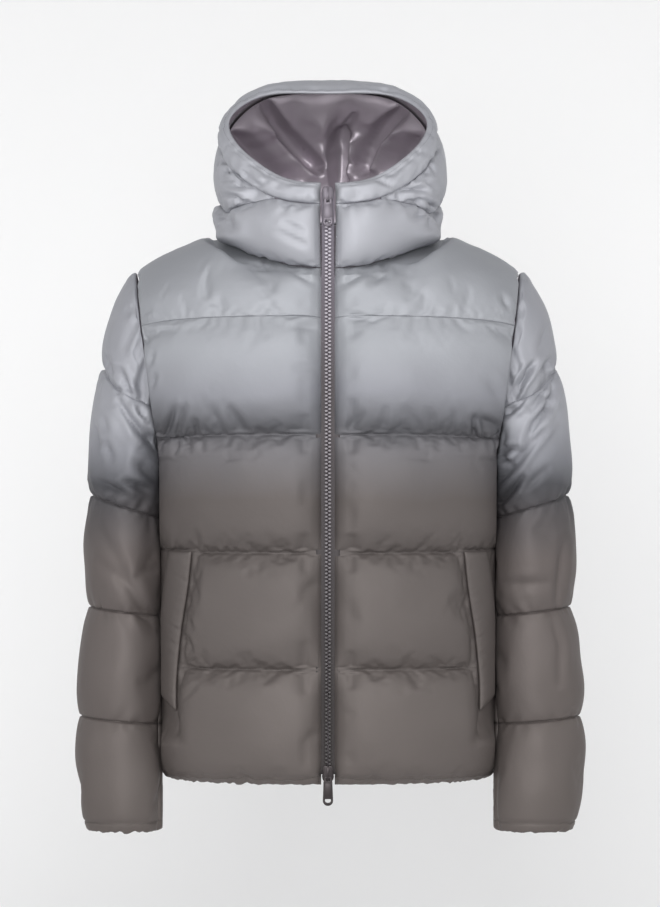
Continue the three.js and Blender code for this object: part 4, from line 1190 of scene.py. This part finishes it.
# Meshes of the padded pieces
def meshObject(name, points, faces, materials, faceMaterial=None, smoothShade=True):
    mesh = bpy.data.meshes.new(name)
    mesh.from_pydata((np.asarray(points) * mm).tolist(), [], np.asarray(faces).tolist())
    for material in materials:
        mesh.materials.append(material)
    if faceMaterial is not None:
        mesh.polygons.foreach_set("material_index", np.asarray(faceMaterial, np.int32))
    mesh.polygons.foreach_set("use_smooth", np.full(len(mesh.polygons), smoothShade))
    mesh.update()
    thing = bpy.data.objects.new(name, mesh)
    bpy.context.scene.collection.objects.link(thing)
    return thing


# The narrow faces that close a wall or a sheet all round
def borderFaces(wide, tall):
    count = wide * tall
    j = np.arange(tall - 1)
    i = np.arange(wide - 1) * tall
    last = (wide - 1) * tall
    return [
        np.stack([i + count, i + tall + count, i + tall, i], axis=1),
        np.stack([i + tall - 1, i + 2 * tall - 1, i + 2 * tall - 1 + count, i + tall - 1 + count], axis=1),
        np.stack([j, j + 1, j + 1 + count, j + count], axis=1),
        np.stack([last + j + count, last + j + 1 + count, last + j + 1, last + j], axis=1),
    ]


def wallMesh(piece):
    keep = piece["keep"]
    outer = piece["outer"]
    keep(outer)
    inner = piece["inner"]
    for points in (inner, outer):
        trimEdges(points, 0.4)
    wide, tall = outer.shape[:2]
    count = wide * tall
    points = np.concatenate([outer.reshape(-1, 3), inner.reshape(-1, 3)])
    points[:, 0] *= piece["side"]
    front = gridFaces(wide, tall)
    back = gridFaces(wide, tall, count)[:, ::-1]
    faces = np.concatenate([front, back, *borderFaces(wide, tall)])
    slots = np.zeros(len(faces), int)
    slots[len(front) : len(front) + len(back)] = 1
    if piece["side"] < 0:
        faces = faces[:, ::-1]
    made = meshObject(piece["name"], points, faces, [shells[piece["finish"]], satin], slots)
    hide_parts(*piece["nodes"])
    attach(made, "jacket")
    return made


for piece in drafts + welts:
    wallMesh(piece)
print("padded pieces made")


# Spun polyester thread, dull and dyed along with the shell
def spunThread():
    material, tree, shader = newMaterial("spunPolyesterThread")
    place = addNode(tree, "ShaderNodeTexCoord")
    ramp = fade(tree, place.outputs["Object"], [
        (-700, "#3E3A38"), (-330, "#454140"), (-250, "#57565A"), (-190, "#7E7F85"),
    ])
    tree.links.new(ramp.outputs[0], shader.inputs["Base Color"])
    shader.inputs["Roughness"].default_value = 0.7
    return material


thread = spunThread()
stitchCut = {"pitch": 3.0, "half": 1.1, "wide": 0.26, "tall": 0.32}


# Points and normals along a row of stitches, so many mm inside a seam
def stitchLine(piece, spec):
    points, index = fromSeam(piece, spec, piece["outer"])
    normals, _ = fromSeam(piece, spec, surfaceNormals(piece["outer"]))
    if "off" not in spec:
        return points[:, index], normals[:, index]
    if index > 0:
        points, normals = points[:, ::-1], normals[:, ::-1]
    away = runLength(points, 1)
    after = np.argmax(away >= spec["off"], axis=1)
    rows = np.arange(len(points))
    t = ((spec["off"] - away[rows, after - 1]) / (away[rows, after] - away[rows, after - 1]))[:, None]
    return tuple(g[rows, after - 1] * (1 - t) + g[rows, after] * t for g in (points, normals))


def stitches(line, normals):
    steps = np.linalg.norm(np.diff(line, axis=0), axis=1)
    run = np.concatenate([[0], np.cumsum(steps)])
    at = np.arange(2.0, run[-1] - 2, stitchCut["pitch"])

    def along(values, where):
        return np.stack([np.interp(where, run, values[:, k]) for k in range(3)], axis=1)

    middle, up = along(line, at), along(normals, at)
    ahead = along(line, at + 0.9) - along(line, at - 0.9)
    ahead /= np.linalg.norm(ahead, axis=1, keepdims=True)
    aside = np.cross(up, ahead)
    corners = []
    for level, size in ((-0.15, 1), (stitchCut["tall"], 0.62)):
        for a, b in ((-1, -1), (1, -1), (1, 1), (-1, 1)):
            corners.append(middle + ahead * a * stitchCut["half"] * (0.4 + 0.6 * size)
                           + aside * b * stitchCut["wide"] * size + up * level)
    points = np.stack(corners, axis=1).reshape(-1, 3)
    box = np.array([(3, 2, 1, 0), (4, 5, 6, 7), (0, 1, 5, 4), (1, 2, 6, 5), (2, 3, 7, 6), (3, 0, 4, 7)])
    return points, (box[None] + 8 * np.arange(len(at))[:, None, None]).reshape(-1, 4)


def sewPiece(piece):
    rows = [stitches(*stitchLine(piece, spec)) for spec in sewnLook[piece["look"]]]
    starts = np.cumsum([0] + [len(points) for points, _ in rows])
    points = np.concatenate([points for points, _ in rows]) * [piece["side"], 1, 1]
    faces = np.concatenate([faces + start for (_, faces), start in zip(rows, starts)])
    if piece["side"] < 0:
        faces = faces[:, ::-1]
    made = meshObject(piece["name"].replace("_cloth", "_stitches"), points, faces, [thread], smoothShade=False)
    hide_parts(*piece["nodes"])
    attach(made, "jacket")


for piece in drafts:
    if piece["look"] in sewnLook:
        sewPiece(piece)
print("seams sewn")


# Zip tapes of woven polyester: dull, dyed along with the shell, darker towards the hem
def zipCloth():
    material, tree, shader = newMaterial("wovenPolyesterTape")
    place = addNode(tree, "ShaderNodeTexCoord")
    ramp = fade(tree, place.outputs["Object"], [(-560, "#2F2A2A"), (-200, "#494446"), (0, "#6C6670")])
    ribs = addNode(tree, "ShaderNodeTexWave", {"Scale": 1 / 0.0012 / 20, "bands_direction": "Z"},
                   {"Vector": place.outputs["Object"]})
    bump = addNode(tree, "ShaderNodeBump", {"Strength": 0.35, "Distance": 0.0003}, {"Height": ribs.outputs[1]})
    tree.links.new(ramp.outputs[0], shader.inputs["Base Color"])
    tree.links.new(bump.outputs[0], shader.inputs["Normal"])
    shader.inputs["Roughness"].default_value = 0.75
    shader.inputs["Sheen Weight"].default_value = 0.1
    return material


# Moulded polyacetal teeth: satin, each with a small highlight on its crown
def toothResin():
    material, tree, shader = newMaterial("mouldedPolyacetalTeeth")
    place = addNode(tree, "ShaderNodeTexCoord")
    ramp = fade(tree, place.outputs["Object"], [(-560, "#2C2727"), (-220, "#716B70"), (0, "#9A949E")])
    tree.links.new(ramp.outputs[0], shader.inputs["Base Color"])
    shader.inputs["Roughness"].default_value = 0.32
    return material


# Painted zinc: the upper slider and tab warm grey, the lower ones nearly black
def paintedZinc(name, color):
    material, tree, shader = newMaterial(name)
    place = addNode(tree, "ShaderNodeTexCoord")
    wear = addNode(tree, "ShaderNodeTexNoise", {"Scale": 900.0, "Detail": 2.0}, {"Vector": place.outputs["Object"]})
    bump = addNode(tree, "ShaderNodeBump", {"Strength": 0.06, "Distance": 0.0002}, {"Height": wear.outputs[0]})
    tree.links.new(bump.outputs[0], shader.inputs["Normal"])
    shader.inputs["Base Color"].default_value = linear(color)
    shader.inputs["Metallic"].default_value = 0.55
    shader.inputs["Roughness"].default_value = 0.36
    return material


tapeCloth = zipCloth()
resin = toothResin()
zinc = {"upper": paintedZinc("greyZinc", "#4F4A51"), "lower": paintedZinc("darkZinc", "#2E2829")}


# A closed thin sheet from two grids of points
def thinSheet(name, front, behind, material, side=1):
    wide, tall = front.shape[:2]
    count = wide * tall
    points = np.concatenate([front.reshape(-1, 3), behind.reshape(-1, 3)])
    points[:, 0] *= side
    rim = borderFaces(wide, tall)
    faces = np.concatenate([gridFaces(wide, tall), gridFaces(wide, tall, count)[:, ::-1], *rim])
    if side < 0:
        faces = faces[:, ::-1]
    return meshObject(name, points, faces, [material])


def toothForm():
    half, tall, deep = zipCut["toothHalf"], zipCut["toothTall"] / 2, zipCut["toothDeep"]
    corner = 0.75
    ring = np.array([
        (half, -tall + corner), (half, tall - corner), (half - corner, tall), (-half + corner, tall),
        (-half, tall - corner), (-half, -tall + corner), (-half + corner, -tall), (half - corner, -tall),
    ])
    rings = []
    for share, y in ((1, 0), (1, -deep * 0.62), (0.86, -deep * 0.9), (0.55, -deep)):
        rings.append(np.stack([ring[:, 0] * share, np.full(8, y), ring[:, 1] * share], axis=1))
    faces = []
    for level in range(3):
        for i in range(8):
            k = (i + 1) % 8
            faces.append((level * 8 + i, level * 8 + k, (level + 1) * 8 + k, (level + 1) * 8 + i))
    for i in (0, 2, 4):
        faces.append((24, 24 + i + 1, 24 + i + 2, 24 + (i + 3) % 8))
        faces.append((0, (i + 3) % 8, i + 2, i + 1))
    return np.concatenate(rings), np.array(faces)


for side, word in ((1, "left"), (-1, "right")):
    shares, z = np.meshgrid(across(5), np.linspace(-648, 33, 120), indexing="ij")
    x = 0.5 + shares * (zipCut["tapeTo"] - 0.5 - 6.6 * smooth(z, -78, -62))
    y = tapeY(z)
    tape = thinSheet(f"zip_tape_{word}_cloth", vec(x, y - zipCut["tapeFront"], z),
                     vec(x, y - zipCut["tapeFront"] + zipCut["tapeThick"], z), tapeCloth, side)
    form, formFaces = toothForm()
    first = zipCut["firstZ"] + (0 if side > 0 else zipCut["pitch"] / 2)
    heights = np.arange(first, zipCut["lastZ"], zipCut["pitch"])
    places = vec(side * zipCut["toothAt"], tapeY(heights) - zipCut["tapeFront"] + 0.2, heights)
    points = (places[:, None] + form[None]).reshape(-1, 3)
    faces = (formFaces[None] + np.arange(len(heights))[:, None, None] * len(form)).reshape(-1, 4)
    teeth = meshObject(f"zip_teeth_{word}", points, faces, [resin], smoothShade=False)
    for thing in (tape, teeth):
        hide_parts(f"zip_tape_{word}")
        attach(thing, "jacket")
print("zip made")

# Sliders and pulls, drawn in x and z about their own origin
sliderCut = {
    "outline": [(-4.4, 0), (4.4, 0), (5.6, 1.4), (6.1, 6), (7, 12.6), (6.4, 15.6), (4.6, 18), (-4.6, 18), (-6.4, 15.6),
                (-7, 12.6), (-6.1, 6), (-5.6, 1.4)],
    "plate": 1.4,
    "channel": 1.8,
    "bailHalf": 1.3,
    "bailOut": 4.6,
    "bailBar": 1.4,
    "foot": 0.6,
    "bailTop": 16.5,
    "places": {"upper": 20.5, "lower": -656},
}

pullCut = {
    "length": 33.5, "neck": 3.2, "topHalf": 5.2, "endHalf": 6,
    "thick": 1.8, "bar": 0.9, "slotHalf": 2, "slotTall": 3.2,
}


def arc(cx, cz, rx, rz, start, end, steps):
    turns = np.radians(np.linspace(start, end, steps))
    return [(cx + rx * math.cos(a), cz + rz * math.sin(a)) for a in turns]


# A bevelled plate from outlines in x and z, the first the border and the others holes
def bevelledPlate(outlines, y0, y1, bevel):
    curve = bpy.data.curves.new("plate", "CURVE")
    curve.dimensions = "2D"
    curve.fill_mode = "BOTH"
    curve.extrude = (abs(y1 - y0) / 2 - bevel) * mm
    curve.bevel_depth = bevel * mm
    curve.bevel_resolution = 2
    curve.offset = -bevel * mm
    for outline in outlines:
        spline = curve.splines.new("POLY")
        spline.points.add(len(outline) - 1)
        for point, (x, z) in zip(spline.points, outline):
            point.co = (x * mm, z * mm, 0, 1)
        spline.use_cyclic_u = True
    drawn = bpy.data.objects.new("plate", curve)
    bpy.context.scene.collection.objects.link(drawn)
    mesh = bpy.data.meshes.new_from_object(drawn.evaluated_get(bpy.context.evaluated_depsgraph_get()))
    bpy.data.objects.remove(drawn)
    bpy.data.curves.remove(curve)
    mesh.transform(Matrix.Translation((0, (y0 + y1) / 2 * mm, 0)) @ Matrix.Rotation(math.pi / 2, 4, "X"))
    return mesh


def joined(name, meshes, material):
    whole = bmesh.new()
    for mesh in meshes:
        whole.from_mesh(mesh)
        bpy.data.meshes.remove(mesh)
    bmesh.ops.remove_doubles(whole, verts=whole.verts, dist=1e-6)
    bmesh.ops.recalc_face_normals(whole, faces=whole.faces)
    mesh = bpy.data.meshes.new(name)
    whole.to_mesh(mesh)
    whole.free()
    mesh.materials.append(material)
    mesh.polygons.foreach_set("use_smooth", np.ones(len(mesh.polygons), bool))
    mesh.set_sharp_from_angle(angle=math.radians(32))
    thing = bpy.data.objects.new(name, mesh)
    bpy.context.scene.collection.objects.link(thing)
    return thing


def makeSlider(name, bottomZ, flipped):
    cut = sliderCut
    y = float(tapeY(np.clip(bottomZ + 9, -643, 28))) - 1.2
    face = cut["channel"] + cut["plate"]
    diamond = [(-1.8, 15), (1.8, 15), (1.8, 17.6), (-1.8, 17.6)]
    rails = [[(s * a, z) for a, z in ((4.0, 1.2), (5.2, 1.4), (5.7, 6), (6.6, 12.8), (5.4, 13.4), (4.7, 6))]
             for s in (1, -1)]
    parts = [bevelledPlate([cut["outline"]], -cut["channel"], -face, 0.45),
             bevelledPlate([cut["outline"]], face, cut["channel"], 0.45),
             bevelledPlate([diamond], cut["channel"] + 0.4, -cut["channel"] - 0.4, 0.2),
             *(bevelledPlate([rail], -face + 0.3, -face - 0.7, 0.25) for rail in rails)]
    bail = [(0, cut["foot"]), (3.1, cut["foot"]), (4.2, 1.0), (cut["bailOut"], 2.1), (cut["bailOut"], 14.5),
            (4.1, 15.9), (2.7, cut["bailTop"]), (0, cut["bailTop"])]
    inner = [(0.1, 2), (2.6, 2), (3.2, 2.6), (3.2, 14.1), (2.4, 15.1), (0.1, 15.1)]
    arch = bevelledPlate([bail, inner], -cut["bailHalf"], cut["bailHalf"], 0.3)
    arch.transform(Matrix.Translation((0, (-face + 0.1) * mm, 0)) @ Matrix.Rotation(-math.pi / 2, 4, "Z"))
    made = joined(f"zip_slider_{name}_metal", [*parts, arch], zinc[name])
    if flipped:
        made.data.transform(Matrix.Translation((0, 0, 18 * mm)) @ Matrix.Rotation(math.pi, 4, "Y"))
    made.location = (0, y * mm, bottomZ * mm)
    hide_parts(f"zip_slider_{name}")
    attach(made, "jacket")
    return y


def makePull(name, y, z):
    cut = pullCut
    bar, low = cut["bar"], -cut["length"] + cut["endHalf"] + cut["bar"]
    neck, top, end = cut["neck"], cut["topHalf"], cut["endHalf"]
    side = [(neck, bar), (neck + 1.1, bar - 0.5), (top - 0.3, bar - 2), (top, -5)]
    border = [*side, *arc(0, low, end, end, 0, -180, 17), *((-x, z) for x, z in reversed(side))]
    slot = [(-2, -0.9), (2, -0.9), (2, -4.1), (-2, -4.1)]
    eye = [(-3.5, low + 1.1), *arc(0, low, 3.5, 2.4, 200, 340, 9), (3.5, low + 1.1), (2.9, low + 1.9), (-2.9, low + 1.9)]
    dish = [(-3.4, -6.4), (3.4, -6.4), (4.2, low + 4.6), (-4.2, low + 4.6)]
    half = cut["thick"] / 2
    made = joined(f"zip_pull_{name}_metal", [bevelledPlate([border, slot, eye], half, -half, 0.4),
                                             bevelledPlate([dish], -half + 0.3, -half - 0.25, 0.2)], zinc[name])
    made.location = (0, y * mm, z * mm)
    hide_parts(f"zip_pull_{name}")
    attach(made, f"pull_{name}")


for name, bottomZ in sliderCut["places"].items():
    flipped = name == "lower"
    y = makeSlider(name, bottomZ, flipped)
    foot = 18 - sliderCut["bailTop"] if flipped else sliderCut["foot"]
    makePull(name, y - 1.8 - 1.4 - 1.6, bottomZ + foot + sliderCut["bailBar"] + pullCut["bar"] + 0.4)
print("sliders made")


# The hood lining hangs loose: deep soft folds run down to the neck from the rim. Lines are in x and z as seen
# from the front; the number after a line is how far it comes forward, then how wide it is to its left and right.
foldLines = [
    {"line": [(-10, 154), (-16, 120), (-10, 80)], "out": 16, "left": 22, "right": 22},
    {"line": [(-78, 160), (-68, 134), (-43, 106), (-22, 84)], "out": -30, "left": 15, "right": 7},
    {"line": [(-92, 134), (-58, 92), (-34, 66)], "out": 12, "left": 9, "right": 10},
    {"line": [(-118, 112), (-90, 86), (-60, 60)], "out": -24, "left": 12, "right": 9},
    {"line": [(36, 158), (18, 128), (10, 112)], "out": -9, "left": 4, "right": 6},
    {"line": [(25, 128), (27, 108), (22, 58)], "out": -44, "left": 12, "right": 8},
    {"line": [(42, 122), (44, 98), (38, 70)], "out": 14, "left": 4, "right": 9},
    {"line": [(54, 84), (64, 108), (80, 134), (96, 148)], "out": -36, "left": 13, "right": 9},
    {"line": [(74, 76), (88, 104), (104, 128)], "out": 12, "left": 6, "right": 8},
    {"line": [(94, 70), (106, 92), (118, 110)], "out": -20, "left": 9, "right": 9},
]


def liningPoint(angle, s):
    at = np.where(angle > 180, 360 - angle, angle)
    return hoodPoint(angle, 0.03 * (1 - s) + (seams["bandStart"](at) - 0.01) * s)


def makeLining():
    angles, shares = np.meshgrid(across(260, zipAngle, 360 - zipAngle), across(90), indexing="ij")
    base = liningPoint(angles, shares)
    normals = gridNormals(liningPoint, angles, shares)
    x, z = base[..., 0], base[..., 2]
    inward = np.full(x.shape, 21.0)
    for fold in foldLines:
        gap, side, _ = lineDistance(x, z, fold["line"])
        wide = np.where(side > 0, fold["right"], fold["left"])
        inward = inward + fold["out"] * np.exp(-((gap / wide) ** 2))
    inward += 2.2 * softNoise(base, 38, 131)
    held = swell(shares, 0.14) * swell(1 - shares, 0.2)
    behind = smooth(base[..., 1], -30, 40)
    inward = 3.6 + np.maximum(inward * behind + 2 * (1 - behind), 0) * held
    front = base - normals * inward[..., None]
    lining = thinSheet("hood_lining_cloth", front, front + normals * 0.4, satin)
    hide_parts("hood_lining")
    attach(lining, "jacket")


makeLining()
print("lining hung")

# Photographic set: a pale floor well below the jacket, soft light from above and the camera
shot = {
    "scale": 1.2, "distance": 4500, "centerPx": (330, 453.5),
    "jacketPx": 328, "originPx": 225, "frameHeight": 907,
}


def buildSet():
    scene = bpy.context.scene
    data = bpy.data.cameras.new("camera")
    data.sensor_width = 36
    data.lens = 36 * shot["distance"] / (shot["frameHeight"] * shot["scale"])
    data.clip_end = 50
    camera = bpy.data.objects.new("camera", data)
    x = (shot["centerPx"][0] - shot["jacketPx"]) * shot["scale"]
    z = (shot["originPx"] - shot["centerPx"][1]) * shot["scale"]
    camera.location = (x * mm, -shot["distance"] * mm, z * mm)
    camera.rotation_euler = (math.pi / 2, 0, 0)
    scene.collection.objects.link(camera)
    scene.camera = camera

    floorZ, backY, depth, wide = -1.06, 1.1, 2.6, 9.0
    profile = [(-6.0, floorZ)]
    profile += [(backY + depth * math.sin(a) * 0.4, floorZ + depth * 0.4 * (1 - math.cos(a)))
                for a in np.linspace(0, math.pi / 2, 14)]
    profile.append((backY + depth * 0.4, 5.0))
    points = [(x, y, z) for y, z in profile for x in (-wide, wide)]
    faces = [(2 * i, 2 * i + 1, 2 * i + 3, 2 * i + 2) for i in range(len(profile) - 1)]
    floor = meshObject("studioFloor", np.array(points) / mm, faces, [])
    paper, tree, shader = newMaterial("matteBackdropPaper")
    shader.inputs["Base Color"].default_value = linear("#F1F1F1")
    shader.inputs["Roughness"].default_value = 0.95
    # The paper is one-sided, so that it doesn't hide the jacket's back
    sheet = addNode(tree, "ShaderNodeNewGeometry")
    clear = addNode(tree, "ShaderNodeBsdfTransparent")
    oneSided = addNode(tree, "ShaderNodeMixShader", {},
                       {0: sheet.outputs["Backfacing"], 1: shader.outputs[0], 2: clear.outputs[0]})
    tree.links.new(oneSided.outputs[0], tree.nodes["Material Output"].inputs["Surface"])
    floor.data.materials.append(paper)

    world = bpy.data.worlds.new("studio")
    world.use_nodes = True
    air = world.node_tree
    glow = air.nodes["Background"]
    glow.inputs[0].default_value = linear("#F4F4F6")
    glow.inputs[1].default_value = 0.31
    # Past the paper the room looks as pale as it does in front
    room = addNode(air, "ShaderNodeBackground", {"Color": linear("#EFEFEF")})
    ray = addNode(air, "ShaderNodeLightPath")
    seen = addNode(air, "ShaderNodeMixShader", {},
                   {0: ray.outputs["Is Camera Ray"], 1: glow.outputs[0], 2: room.outputs[0]})
    air.links.new(seen.outputs[0], air.nodes["World Output"].inputs["Surface"])
    scene.world = world

    lights = [
        {"name": "topSoftbox", "at": (0.1, -2.2, 2.0), "to": (0, 0, -0.27), "size": 1.8, "power": 40},
        {"name": "frontSoftbox", "at": (-0.2, -4.2, 0.25), "to": (0, 0, -0.27), "size": 1.2, "power": 82},
        {"name": "leftStrip", "at": (-2.4, -1.6, 0.1), "to": (0, 0, -0.27), "size": 1.0, "power": 14},
        {"name": "rightStrip", "at": (2.4, -1.6, 0.1), "to": (0, 0, -0.27), "size": 1.0, "power": 14},
        {"name": "backdropLeft", "at": (-1.7, 0.45, 0.1), "to": (-0.9, 1.9, -1.0), "size": 1.6, "power": 7.8},
        {"name": "backdropRight", "at": (1.7, 0.45, 0.1), "to": (0.9, 1.9, -1.0), "size": 1.6, "power": 7.8},
    ]
    for light in lights:
        data = bpy.data.lights.new(light["name"], "AREA")
        data.size = light["size"]
        data.energy = light["power"]
        lamp = bpy.data.objects.new(light["name"], data)
        lamp.location = light["at"]
        aim = Vector(light["to"]) - Vector(light["at"])
        lamp.rotation_euler = aim.to_track_quat("-Z", "Y").to_euler()
        lamp.visible_camera = False
        scene.collection.objects.link(lamp)
    scene.view_settings.view_transform = "Standard"


buildSet()
print("set ready")
